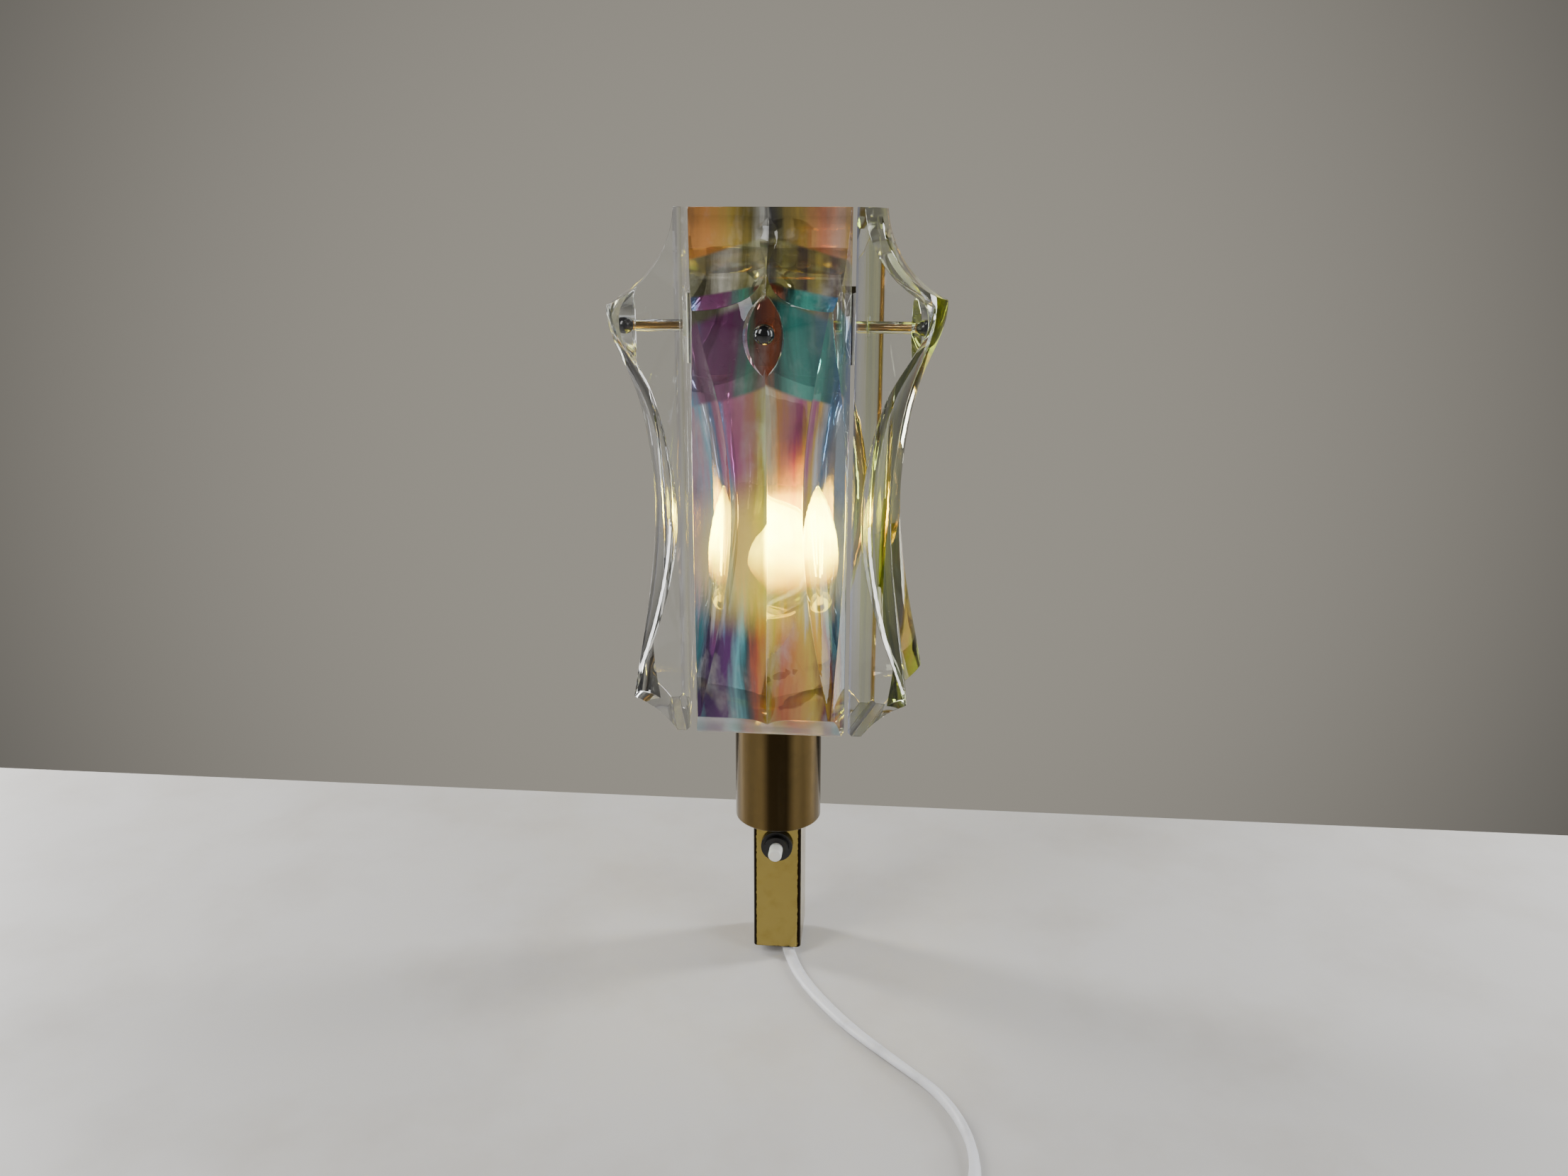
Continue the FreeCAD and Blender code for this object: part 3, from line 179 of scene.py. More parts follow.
class FinishSettings(bpy.types.PropertyGroup):
    """Colours of the finishes, how bright the lamp is, and the glass."""

    brass: colour_property("Brass", "Colour of the polished brass", "#A08E50")
    aged_brass: colour_property("Aged brass", "Colour of brass that has gone brown", "#554A30")
    glow: colour_property("Glow", "Colour of the lit lamp", "#FFF25C")
    glow_strength: FloatProperty(
        name="Glow strength", description="How bright the light strips are", default=160, min=0
    )
    glare_strength: FloatProperty(
        name="Glare strength",
        description="How bright the bulb's glass is round the strips",
        default=11,
        min=0,
    )
    glass_index: FloatProperty(
        name="Glass index", description="Index of refraction of the cut glass", default=1.53
    )


class LeadSettings(bpy.types.PropertyGroup):
    """Sizes of the mains lead."""

    width: FloatProperty(
        name="Width", description="Wide side of the flat lead", default=0.005, unit="LENGTH"
    )
    thickness: FloatProperty(
        name="Thickness", description="Narrow side of the flat lead", default=0.0034, unit="LENGTH"
    )
    coiled_width: FloatProperty(
        name="Coiled width", description="Wide side where it is coiled", default=0.0043, unit="LENGTH"
    )
    coiled_thickness: FloatProperty(
        name="Coiled thickness",
        description="Narrow side where it is coiled",
        default=0.0037,
        unit="LENGTH",
    )
    coil_radius: FloatProperty(
        name="Coil radius", description="Radius of the outermost turn", default=0.033, unit="LENGTH"
    )
    turn_pitch: FloatProperty(
        name="Turn pitch", description="Distance from turn to turn", default=0.00445, unit="LENGTH"
    )


class StageSettings(bpy.types.PropertyGroup):
    """Camera and lights."""

    lens: FloatProperty(
        name="Lens", description="Focal length of the camera", default=28.88, unit="CAMERA"
    )
    heading: FloatProperty(
        name="Heading",
        description="Turn of the camera to the left",
        default=math.radians(5.099),
        subtype="ANGLE",
    )
    pitch: FloatProperty(
        name="Pitch",
        description="How far the camera looks down",
        default=math.radians(16.498),
        subtype="ANGLE",
    )
    roll: FloatProperty(
        name="Roll",
        description="Tilt of the camera",
        default=math.radians(0.195),
        subtype="ANGLE",
    )
    place: FloatVectorProperty(
        name="Place",
        description="Where the camera stands",
        default=(0.04437, -0.49486, 0.01572),
        subtype="TRANSLATION",
    )
    key_power: FloatProperty(
        name="Key light", description="Power of the main light", default=9, min=0, unit="POWER"
    )
    fill_power: FloatProperty(
        name="Fill light", description="Power of the weaker light", default=4, min=0, unit="POWER"
    )
    rim_power: FloatProperty(
        name="Rim lights",
        description="Power of each strip light beside the object",
        default=5,
        min=0,
        unit="POWER",
    )


# ------------------------------------------------------------------ materials

def linear(hexcode):
    """An sRGB hex colour as linear red, green, blue and alpha."""
    channels = [int(hexcode[start:start + 2], 16) / 255 for start in (1, 3, 5)]
    low = [value / 12.92 for value in channels]
    high = [((value + 0.055) / 1.055) ** 2.4 for value in channels]
    return [b if value > 0.04045 else a for value, a, b in zip(channels, low, high)] + [1.0]


# Settings of nodes that come back often.
SMOOTH = {"interpolation_type": "SMOOTHSTEP"}
COLOUR = {"data_type": "RGBA"}
TIMES = {"operation": "MULTIPLY"}
PLUS = {"operation": "ADD"}


def connect(node, *inputs, **named):
    """Gives a node its inputs, the ones in use in their order or any by name, as values or
    as links. A node stands for its first output in use, and a hex code for its colour."""
    sockets = [socket for socket in node.inputs if socket.enabled][:len(inputs)]
    sockets += [node.inputs[name.replace("_", " ")] for name in named]
    for socket, value in zip(sockets, (*inputs, *named.values())):
        if isinstance(value, str):
            value = linear(value)
        if isinstance(value, bpy.types.Node):
            value = next(output for output in value.outputs if output.enabled)
        if isinstance(value, bpy.types.NodeSocket):
            node.id_data.links.new(value, socket)
        else:
            socket.default_value = value
    return node


def add(tree, kind, *inputs, **named):
    """Adds a node with its inputs and its settings. An input's name has a capital."""
    node = tree.nodes.new(f"ShaderNode{kind}")
    for name in [name for name in named if name[0].islower()]:
        setattr(node, name, named.pop(name))
    return connect(node, *inputs, **named)


def fill_ramp(node, stops):
    """Gives a colour ramp its stops, each a place from 0 to 1 and a hex colour."""
    elements = node.color_ramp.elements
    while len(elements) < len(stops):
        elements.new(0.5)
    for element, (place, hexcode) in zip(elements, stops):
        element.position = place
        element.color = linear(hexcode)
    return node


def grain(size):
    """The scale of a noise whose patches are about so many millimetres across."""
    return 1 / (size * MM)


def new_material(name, **shader):
    """A material with one Principled shader, whose inputs are given by name."""
    material = bpy.data.materials.new(name)
    material.use_nodes = True
    tree = material.node_tree
    tree.nodes.clear()
    surface = add(tree, "BsdfPrincipled", **shader)
    add(tree, "OutputMaterial", Surface=surface)
    return material, tree, surface


def cut_crystal(node_name):
    """Pressed and polished lead glass with a vapour-deposited colour film on its flat
    back. Clear through its cut sides, and stripes of spectral colour through its front;
    its top and bottom faces are ground, which leaves them white."""
    pin, turn = HANGING[node_name]
    in_front = node_name == "crystal_front"
    material, tree, surface = new_material(
        f"filmed_lead_glass_{node_name.split('_')[1]}",
        IOR=bpy.context.scene.sconce_finish.glass_index,
        Transmission_Weight=1.0,
        Specular_IOR_Level=0.5,
    )
    place = add(tree, "TexCoord").outputs["Object"]
    own = add(
        tree, "Mapping", Vector=place, Location=pin, Rotation=(0, 0, turn), vector_type="TEXTURE"
    )
    x, y, z = add(tree, "SeparateXYZ", own).outputs
    if in_front:
        colours = film_colours(tree, own, x, z)
    else:
        stops = LEFT_COLOURS if node_name == "crystal_left" else RIGHT_COLOURS
        colours = side_film(tree, own, x, stops)
    # the film lies on the back, which is at y = 0 of the crystal's own place
    on_back = add(tree, "MapRange", y, -1.1 * MM, -0.5 * MM, 0, FILM_DEPTH[node_name])
    lamp = (0, 0, LAMP_LEVEL - PIN_LEVEL)
    from_lamp = add(tree, "VectorMath", own, lamp, operation="DISTANCE")
    # painted light: the film's colours are turned yellow near the lamp, standing in for the lamp's
    # light shining through it
    if in_front:
        painted_lamp_light = add(tree, "MapRange", from_lamp, 36 * MM, 16 * MM, 0, 0.6, **SMOOTH)
        colours = add(tree, "Mix", painted_lamp_light, colours, "#FFEE34", **COLOUR)
    tint = add(tree, "Mix", on_back, "#FBFDFC", colours, **COLOUR)
    # it mirrors part of the light in its own colour, most of it near the head
    mirrored = add(tree, "MapRange", z, -50 * MM, 0, 0.34, 0.6, **SMOOTH)
    if in_front:
        # left of the middle it is thick enough to keep the lamp from showing through
        from_left = add(tree, "MapRange", x, -16 * MM, -12 * MM, **SMOOTH)
        to_middle = add(tree, "MapRange", x, -1 * MM, -4 * MM, **SMOOTH)
        left = add(tree, "Math", from_left, to_middle, **TIMES)
        thick = add(tree, "Math", left, 0.85, **TIMES)
        mirrored = add(tree, "Math", mirrored, thick, operation="MAXIMUM")
    # it shines a little where the lamp lights it from behind
    reach, near, far = GLOWS["front" if in_front else "side"]
    lit = add(tree, "MapRange", from_lamp, reach * MM, 12 * MM, far, near, **SMOOTH)
    # ground faces scatter light: the top, and all that faces down
    normal = add(tree, "NewGeometry").outputs["Normal"]
    upward = add(tree, "SeparateXYZ", normal).outputs["Z"]
    top_face = add(tree, "Math", upward, 0.97, operation="GREATER_THAN")
    foot_face = add(tree, "Math", upward, -0.5, operation="LESS_THAN")
    ground = add(tree, "Math", top_face, foot_face, operation="MAXIMUM")
    scattered = add(tree, "Math", ground, 0.2, **TIMES)
    dulled = add(tree, "Math", ground, 0.22, **TIMES)
    scratches = add(tree, "TexNoise", own, grain(0.6), 6)
    fine = add(tree, "Math", scratches, 0.02, **TIMES)
    waves = add(tree, "TexNoise", own, grain(14), 1)
    connect(
        surface,
        Base_Color=add(tree, "Mix", ground, tint, "#F4F4F2", **COLOUR),
        Metallic=add(tree, "Math", on_back, mirrored, **TIMES),
        Roughness=add(tree, "Math", dulled, fine, **PLUS),
        Normal=add(tree, "Bump", Strength=0.3, Distance=0.15 * MM, Height=waves),
        Transmission_Weight=add(tree, "Math", 1.0, scattered, operation="SUBTRACT"),
        Emission_Color=colours,
        Emission_Strength=add(tree, "Math", lit, on_back, **TIMES),
    )
    return material


def drawn_out(tree, vector, share):
    """The same place with its height counted less, so that a pattern is drawn out upright."""
    return add(tree, "Mapping", Vector=vector, Scale=(1, 1, share), vector_type="POINT")


def off_centre(tree, value, size):
    """A value from 0 to 1 as a shift to both sides, of so much in all."""
    centred = add(tree, "Math", value, 0.5, operation="SUBTRACT")
    return add(tree, "Math", centred, size, **TIMES)


def film_colours(tree, own, x, z):
    """Upright bands of the film's colours, in five zones from the head of the prism to its
    foot. The bands draw together at its waist, and the zones' borders rise to its middle."""
    below_head = add(tree, "MapRange", z, -10 * MM, -62 * MM, **SMOOTH)
    above_foot = add(tree, "MapRange", z, -150 * MM, -78 * MM, **SMOOTH)
    waist = add(tree, "Math", below_head, above_foot, **TIMES)
    narrowed = add(tree, "Math", add(tree, "Math", waist, 0.4, **TIMES), 1.0, **PLUS)
    gathered = add(tree, "Math", x, narrowed, **TIMES)
    across = add(tree, "MapRange", gathered, -HALF_PRISM, HALF_PRISM)
    wander = add(tree, "TexNoise", drawn_out(tree, own, 0.25), grain(22), 2)
    streaks = add(tree, "TexNoise", drawn_out(tree, own, 0.07), grain(1.6), 3)
    band = add(tree, "Math", across, off_centre(tree, wander, 0.16), **PLUS)
    band = add(tree, "Math", band, off_centre(tree, streaks, 0.11), **PLUS)
    head, smoke, pins, middle, foot = (
        fill_ramp(add(tree, "ValToRGB", band), stops)
        for stops in (HEAD_COLOURS, SMOKE_COLOURS, PIN_COLOURS, MIDDLE_COLOURS, FOOT_COLOURS)
    )
    aside = add(tree, "Math", x, operation="ABSOLUTE")
    inward = add(tree, "MapRange", aside, HALF_PRISM, 0)
    rise = add(tree, "Math", inward, 9 * MM, **TIMES)
    arched = add(tree, "Math", z, rise, operation="SUBTRACT")
    ragged = add(tree, "Math", z, off_centre(tree, streaks, 60 * MM), **PLUS)
    # each zone takes over from the one above it between two heights, in millimetres from the pin
    mixed = head
    for level, upper, lower, zone in (
        (arched, 22, 20.5, smoke),
        (arched, 3, 1, pins),
        (arched, -25, -27, middle),
        (ragged, -84, -112, foot),
    ):
        taken = add(tree, "MapRange", level, upper * MM, lower * MM, **SMOOTH)
        mixed = add(tree, "Mix", taken, mixed, zone, **COLOUR)
    # paler and deeper patches, as the film's depth changes
    cloud = add(tree, "TexNoise", drawn_out(tree, own, 0.5), grain(12), 4, 0.6)
    pale = add(tree, "MapRange", cloud, 0.54, 0.74, 0, 0.3)
    deep = add(tree, "MapRange", cloud, 0.45, 0.28, 0, 0.4)
    mixed = add(tree, "Mix", pale, mixed, "#ECE8E4", **COLOUR)
    return add(tree, "Mix", deep, mixed, "#2A2430", **COLOUR)


def side_film(tree, own, x, stops):
    """The film as a side crystal shows it, drawn out in upright streaks."""
    across = add(tree, "MapRange", x, -HALF_PRISM, HALF_PRISM)
    streaks = add(tree, "TexNoise", drawn_out(tree, own, 0.1), grain(3), 3)
    band = add(tree, "Math", across, off_centre(tree, streaks, 0.4), **PLUS)
    return fill_ramp(add(tree, "ValToRGB", band), stops)


def polished_brass(name, colour, stain, edge_test=None, painted_front_reflection=0.0):
    """Drawn and polished brass under old lacquer: fine upright rubbing marks, brown
    where the lacquer has gone, and darkest along its edges. If it says so, a dark
    reflection is painted down its front middle."""
    material, tree, surface = new_material(name, Metallic=1.0)
    place = add(tree, "TexCoord").outputs["Object"]
    x, y, z = add(tree, "SeparateXYZ", place).outputs
    # the real rubbing marks are finer, and are drawn at half a millimetre so that they show
    rubbing = add(tree, "TexNoise", drawn_out(tree, place, 0.04), grain(0.5), 4)
    blotches = add(tree, "TexNoise", place, grain(9), 5, 0.65)
    aged = add(tree, "MapRange", blotches, 0.48, 0.72)
    stained = add(tree, "Math", aged, 0.35, **TIMES)
    tint = add(tree, "Mix", stained, colour, stain, **COLOUR)
    # painted reflection: a dark stripe painted down the front middle of the brass
    if painted_front_reflection:
        right = add(tree, "Math", x, 1.5 * MM, operation="SUBTRACT")
        aside = add(tree, "Math", right, operation="ABSOLUTE")
        middle = add(tree, "MapRange", aside, 7 * MM, 3 * MM, 0, painted_front_reflection, **SMOOTH)
        tint = add(tree, "Mix", middle, tint, "#1A1209", **COLOUR)
    if edge_test is not None:
        # the brass is drawn darker towards the edges that the edge test picks out, with a ragged
        # border
        edge_noise = add(tree, "TexNoise", place, grain(1.4), 5, 0.7)
        edge = add(tree, "Math", edge_test(tree, x, y, z), edge_noise, **PLUS)
        darker_edge = add(tree, "MapRange", edge, 1.02, 1.12)
        tint = add(tree, "Mix", darker_edge, tint, "#1E150A", **COLOUR)
    dulled = add(tree, "Math", add(tree, "Math", aged, 0.08, **TIMES), 0.12, **PLUS)
    rubbed = add(tree, "Math", rubbing, 0.08, **TIMES)
    connect(
        surface,
        Base_Color=tint,
        Roughness=add(tree, "Math", dulled, rubbed, **PLUS),
        Normal=add(tree, "Bump", Strength=0.25, Distance=0.01 * MM, Height=rubbing),
    )
    return material


def box_edges(tree, x, y, z):
    """Rises towards the two long front edges and the mouth of the switch box."""
    aside = add(tree, "Math", x, operation="ABSOLUTE")
    side = add(tree, "MapRange", aside, BOX_SIDE - 2.1 * MM, BOX_SIDE - 1.1 * MM, 0, 0.8)
    front = add(tree, "MapRange", y, BOX_FRONT + 2.1 * MM, BOX_FRONT + 1.1 * MM)
    mouth = add(tree, "MapRange", z, -281.6 * MM, -283 * MM, 0, 0.6)
    long_edges = add(tree, "Math", side, front, **TIMES)
    return add(tree, "Math", long_edges, mouth, operation="MAXIMUM")


def cup_edges(tree, x, y, z):
    """Rises towards the bottom rim of the cup."""
    return add(tree, "MapRange", z, -221.6 * MM, -223 * MM, 0, 0.5)


def lacquered_band():
    """Steel strip, stove-enamelled: near black in front and behind, pale on its two sides."""
    material, tree, surface = new_material("enamelled_strip", IOR=1.5, Coat_Weight=0.4)
    place = add(tree, "TexCoord").outputs["Object"]
    x = add(tree, "SeparateXYZ", place).outputs["X"]
    aside = add(tree, "Math", x, operation="ABSOLUTE")
    sides = add(tree, "MapRange", aside, 28.2 * MM, 28.8 * MM)
    runs = add(tree, "TexNoise", place, grain(6), 4)
    dark = add(tree, "Mix", runs, "#0C0A09", "#221B14", **COLOUR)
    connect(
        surface,
        Base_Color=add(tree, "Mix", sides, dark, "#C9C5BA", **COLOUR),
        Roughness=add(tree, "MapRange", runs, 0.3, 0.7, 0.22, 0.36),
    )
    return material


def plain_metal(name, colour, roughness, mark_size, variation):
    """A small turned or drawn part of metal. Its faint tool marks are drawn coarser than
    they are, so that they show."""
    material, tree, surface = new_material(name, Metallic=1.0)
    place = add(tree, "TexCoord").outputs["Object"]
    marks = add(tree, "TexNoise", place, grain(mark_size), 4)
    patches = add(tree, "MapRange", marks, 0.45, 0.8, 0, 0.5)
    dulled = add(tree, "Math", marks, 0.12, **TIMES)
    connect(
        surface,
        Base_Color=add(tree, "Mix", patches, colour, variation, **COLOUR),
        Roughness=add(tree, "Math", dulled, roughness - 0.06, **PLUS),
        Normal=add(tree, "Bump", Strength=0.2, Distance=0.01 * MM, Height=marks),
    )
    return material


def moulded_plastic(name, colour, stain, roughness, soft=0.0):
    """Moulded plastic with a fine spark-eroded skin, drawn coarser than it is so that it
    shows, and faint handling marks."""
    material, tree, surface = new_material(name, IOR=1.49, Subsurface_Weight=soft)
    place = add(tree, "TexCoord").outputs["Object"]
    skin = add(tree, "TexNoise", place, grain(0.35), 3)
    marks = add(tree, "TexNoise", place, grain(11), 5, 0.6)
    handled = add(tree, "MapRange", marks, 0.5, 0.8, 0, 0.5)
    dulled = add(tree, "Math", marks, 0.15, **TIMES)
    connect(
        surface,
        Base_Color=add(tree, "Mix", handled, colour, stain, **COLOUR),
        Roughness=add(tree, "Math", dulled, roughness, **PLUS),
        Normal=add(tree, "Bump", Strength=0.15, Distance=0.02 * MM, Height=skin),
    )
    return material


def black_gloss():
    """Black nickel plate on a turned ball: a mirror under a dark tint, with a little dust
    on it."""
    material, tree, surface = new_material(
        "black_nickel_plate", Metallic=0.6, Coat_Weight=1.0, Coat_Roughness=0.02
    )
    place = add(tree, "TexCoord").outputs["Object"]
    dust = add(tree, "TexNoise", place, grain(0.3), 4)
    dusty = add(tree, "MapRange", dust, 0.6, 0.8, 0, 0.3)
    connect(
        surface,
        Base_Color=add(tree, "Mix", dusty, "#060607", "#2A2A2C", **COLOUR),
        Roughness=add(tree, "MapRange", dust, 0.3, 0.9, 0.04, 0.12),
    )
    return material


def bulb_glass():
    """Clear blown glass round the lit strips, with the lamp's own glare in it, which fades
    towards the collar and towards the tip."""
    finish = bpy.context.scene.sconce_finish
    material, tree, surface = new_material(
        "lit_bulb_glass", IOR=1.5, Transmission_Weight=1.0, Roughness=0.02, Base_Color="#FFFDF8"
    )
    place = add(tree, "TexCoord").outputs["Object"]
    z = add(tree, "SeparateXYZ", place).outputs["Z"]
    above_collar = add(tree, "MapRange", z, -126 * MM, -106 * MM, **SMOOTH)
    below_tip = add(tree, "MapRange", z, -76 * MM, -94 * MM, **SMOOTH)
    glare = add(tree, "Math", above_collar, below_tip, **TIMES)
    stops = ((0.0, "#E09800"), (0.35, "#FFD000"), (0.75, "#FFEC00"), (1.0, finish.glow))
    streaks = add(tree, "TexNoise", place, grain(10), 1)
    uneven = add(tree, "MapRange", streaks, 0.3, 0.7, 0.7, 1.2)
    lit = add(tree, "Math", glare, uneven, **TIMES)
    connect(
        surface,
        Emission_Color=fill_ramp(add(tree, "ValToRGB", glare), stops),
        Emission_Strength=add(tree, "Math", lit, finish.glare_strength, **TIMES),
    )
    return material


def light_strip():
    """Phosphor-coated light strip, warm white when lit, and a little uneven."""
    finish = bpy.context.scene.sconce_finish
    material, tree, surface = new_material(
        "phosphor_strip", Roughness=0.5, Base_Color="#F2C65A", Emission_Color=finish.glow
    )
    place = add(tree, "TexCoord").outputs["Object"]
    coating = add(tree, "TexNoise", place, grain(0.8), 2)
    bright = finish.glow_strength
    connect(
        surface,
        Emission_Strength=add(tree, "MapRange", coating, 0.3, 0.7, bright * 0.8, bright),
    )
    return material


def lead_sheath():
    """Extruded white PVC: smooth and a little soft to light, greyed here and there."""
    material, tree, surface = new_material(
        "extruded_pvc_sheath",
        IOR=1.53,
        Subsurface_Weight=0.12,
        Subsurface_Scale=0.002,
        Subsurface_Radius=(1.0, 0.9, 0.8),
    )
    place = add(tree, "TexCoord").outputs["Object"]
    marks = add(tree, "TexNoise", place, grain(16), 6, 0.65)
    greyed = add(tree, "MapRange", marks, 0.5, 0.78, 0, 0.7)
    skin = add(tree, "TexNoise", place, grain(0.9), 2)
    connect(
        surface,
        Base_Color=add(tree, "Mix", greyed, "#E9EAEE", "#BFC0C4", **COLOUR),
        Roughness=add(tree, "MapRange", marks, 0.3, 0.8, 0.26, 0.45),
        Normal=add(tree, "Bump", Strength=0.2, Distance=0.02 * MM, Height=skin),
    )
    return material


def table_top():
    """Painted board, pale and matt, with a few smudges."""
    material, tree, surface = new_material("painted_board", IOR=1.45)
    place = add(tree, "TexCoord").outputs["Object"]
    smudges = add(tree, "TexNoise", place, grain(70), 6, 0.55)
    smudged = add(tree, "MapRange", smudges, 0.45, 0.75)
    connect(
        surface,
        Base_Color=add(tree, "Mix", smudged, "#D3D1CE", "#C6C2BC", **COLOUR),
        Roughness=add(tree, "MapRange", smudges, 0.3, 0.8, 0.45, 0.6),
    )
    return material


# ------------------------------------------------------------------ meshes

def dress(node_names, material):
    """Gives CAD nodes a material."""
    for name in node_names:
        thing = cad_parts[name]
        thing.data.materials.clear()
        thing.data.materials.append(material)


def deselect():
    """Leaves edit mode and deselects everything."""
    if bpy.context.object and bpy.context.object.mode != "OBJECT":
        bpy.ops.object.mode_set(mode="OBJECT")
    bpy.ops.object.select_all(action="DESELECT")


def settle(thing, body, material):
    """Bakes a new piece's place into its mesh, and puts it on its body."""
    deselect()
    thing.select_set(True)
    bpy.context.view_layer.objects.active = thing
    bpy.ops.object.transform_apply(location=True, rotation=True, scale=True)
    thing.data.materials.clear()
    thing.data.materials.append(material)
    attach(thing, body)
    return thing


def centre_line(name, points):
    """Points along the open NURBS curve that the given points steer."""
    curve = bpy.data.curves.new(name, "CURVE")
    curve.dimensions = "3D"
    curve.resolution_u = 6
    spline = curve.splines.new("NURBS")
    spline.points.add(len(points) - 1)
    for point, place in zip(spline.points, points):
        point.co = (*place, 1)
    spline.order_u = 3
    spline.use_endpoint_u = True
    holder = bpy.data.objects.new(name, curve)
    bpy.context.scene.collection.objects.link(holder)
    bpy.context.view_layer.update()
    graph = bpy.context.evaluated_depsgraph_get()
    mesh = bpy.data.meshes.new_from_object(holder.evaluated_get(graph))
    line = [vertex.co.copy() for vertex in mesh.vertices]
    bpy.data.objects.remove(holder)
    bpy.data.curves.remove(curve)
    bpy.data.meshes.remove(mesh)
    return line


def nearest_point(line, place):
    """Number of the point of a line that is nearest to a place."""
    return min(range(len(line)), key=lambda number: (line[number] - place).length_squared)


def oval_tube(name, line, sections, sides=14):
    """A closed tube with an oval section: half width, half thickness and turn at each point."""
    mesh = bpy.data.meshes.new(name)
    shape = bmesh.new()
    rings = []
    for number, place in enumerate(line):
        ahead = line[min(number + 1, len(line) - 1)]
        behind = line[max(number - 1, 0)]
        along = (ahead - behind).normalized()
        sideways = along.cross(Vector((0, 0, 1)))
        if sideways.length < 0.3:
            # nearly upright, so that the line's own sideways is no guide
            sideways = Vector((1, 0, 0)) - along * along.x
        sideways.normalize()
        upward = sideways.cross(along)
        half_width, half_thickness, turn = sections[number]
        flat = sideways * math.cos(turn) + upward * math.sin(turn)
        edge = upward * math.cos(turn) - sideways * math.sin(turn)
        ring = []
        for step in range(sides):
            angle = 2 * math.pi * step / sides
            out = flat * half_width * math.cos(angle) + edge * half_thickness * math.sin(angle)
            ring.append(shape.verts.new(place + out))
        rings.append(ring)
    for first, second in zip(rings, rings[1:]):
        for step in range(sides):
            after = (step + 1) % sides
            shape.faces.new((first[step], first[after], second[after], second[step]))
    shape.faces.new(rings[0])
    shape.faces.new(reversed(rings[-1]))
    bmesh.ops.recalc_face_normals(shape, faces=shape.faces)
    for face in shape.faces:
        face.smooth = len(face.verts) == 4
    shape.to_mesh(mesh)
    shape.free()
    thing = bpy.data.objects.new(name, mesh)
    bpy.context.scene.collection.objects.link(thing)
    return thing


def merged_copy(node_name, name):
    """A copy of a node's mesh whose triangles are joined, for a piece that stands for it."""
    thing = bpy.data.objects.new(name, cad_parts[node_name].data.copy())
    bpy.context.scene.collection.objects.link(thing)
    deselect()
    thing.select_set(True)
    bpy.context.view_layer.objects.active = thing
    bpy.ops.mesh.customdata_custom_splitnormals_clear()
    bpy.ops.object.mode_set(mode="EDIT")
    bpy.ops.mesh.select_all(action="SELECT")
    bpy.ops.mesh.remove_doubles(threshold=JOIN_DISTANCE)
    bpy.ops.object.mode_set(mode="OBJECT")
    bpy.ops.object.shade_smooth_by_angle(angle=SMOOTH_ANGLE)
    return thing


def eased_copy(node_name, name):
    """A copy of a prism with its cut edges eased, as polishing leaves them. The shortest
    edges keep the ease below what is asked for, so that no face folds over another."""
    prism = merged_copy(node_name, name)
    bpy.ops.object.mode_set(mode="EDIT")
    bpy.ops.mesh.select_mode(type="EDGE")
    bpy.ops.mesh.select_all(action="SELECT")
    bpy.ops.mesh.dissolve_limited(angle_limit=math.radians(0.6))
    bpy.ops.mesh.select_all(action="DESELECT")
    bpy.ops.mesh.edges_select_sharp(sharpness=math.radians(20))
    bpy.ops.mesh.bevel(offset=PRISM_EASE, segments=2, clamp_overlap=True)
    bpy.ops.object.mode_set(mode="OBJECT")
    bpy.ops.object.shade_smooth_by_angle(angle=SMOOTH_ANGLE)
    return prism


# ------------------------------------------------------------------ pieces

class SCONCE_OT_crystals(bpy.types.Operator):
    """Cuts the three hanging prisms in filmed glass, with eased edges."""

    bl_idname = "sconce.crystals"
    bl_label = "Crystals"

    def execute(self, context):
        for node_name in HANGING:
            side = node_name.split("_")[1]
            prism = eased_copy(node_name, f"prism_{side}")
            prism = settle(prism, node_name, cut_crystal(node_name))
            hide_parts(node_name)
        return {"FINISHED"}


class SCONCE_OT_metalwork(bpy.types.Operator):
    """Gives pins, ball nuts, band, spine, cup, box and screws their metals."""

    bl_idname = "sconce.metalwork"
    bl_label = "Metalwork"

    def execute(self, context):
        finish = context.scene.sconce_finish
        # drawn brass under lacquer, with a dark reflection painted down its front
        drawn = polished_brass(
            "brown_drawn_brass_painted_reflection", "#6C5A38", finish.aged_brass, cup_edges, painted_front_reflection=0.85
        )
        dress(["cup"], drawn)
        # folded sheet brass, bright in its middle and dark along its edges
        sheet = polished_brass("lacquered_sheet_brass", finish.brass, "#86702C", box_edges)
        dress(["switch_box"], sheet)
        # flat bar, the yellowest of the brass, stained where the lacquer has gone
        dress(["spine"], polished_brass("brass_flat_bar", "#A08046", finish.aged_brass))
        dress(["band"], lacquered_band())
        # turned brass rod, bright, with brown in its tool marks
        rod = plain_metal("turned_brass_rod", "#B08848", 0.22, 0.6, "#5A4426")
        dress(["pin_front", "pin_left", "pin_right"], rod)
        dress(["ball_nut_front", "ball_nut_left", "ball_nut_right"], black_gloss())
        # zinc-plated steel: cool grey with a soft shine
        zinc = plain_metal("zinc_plated_steel", "#A8A8A4", 0.3, 0.7, "#707070")
        dress(["pin_nuts", "band_screws", "box_screws", "holder_screws"], zinc)
        return {"FINISHED"}


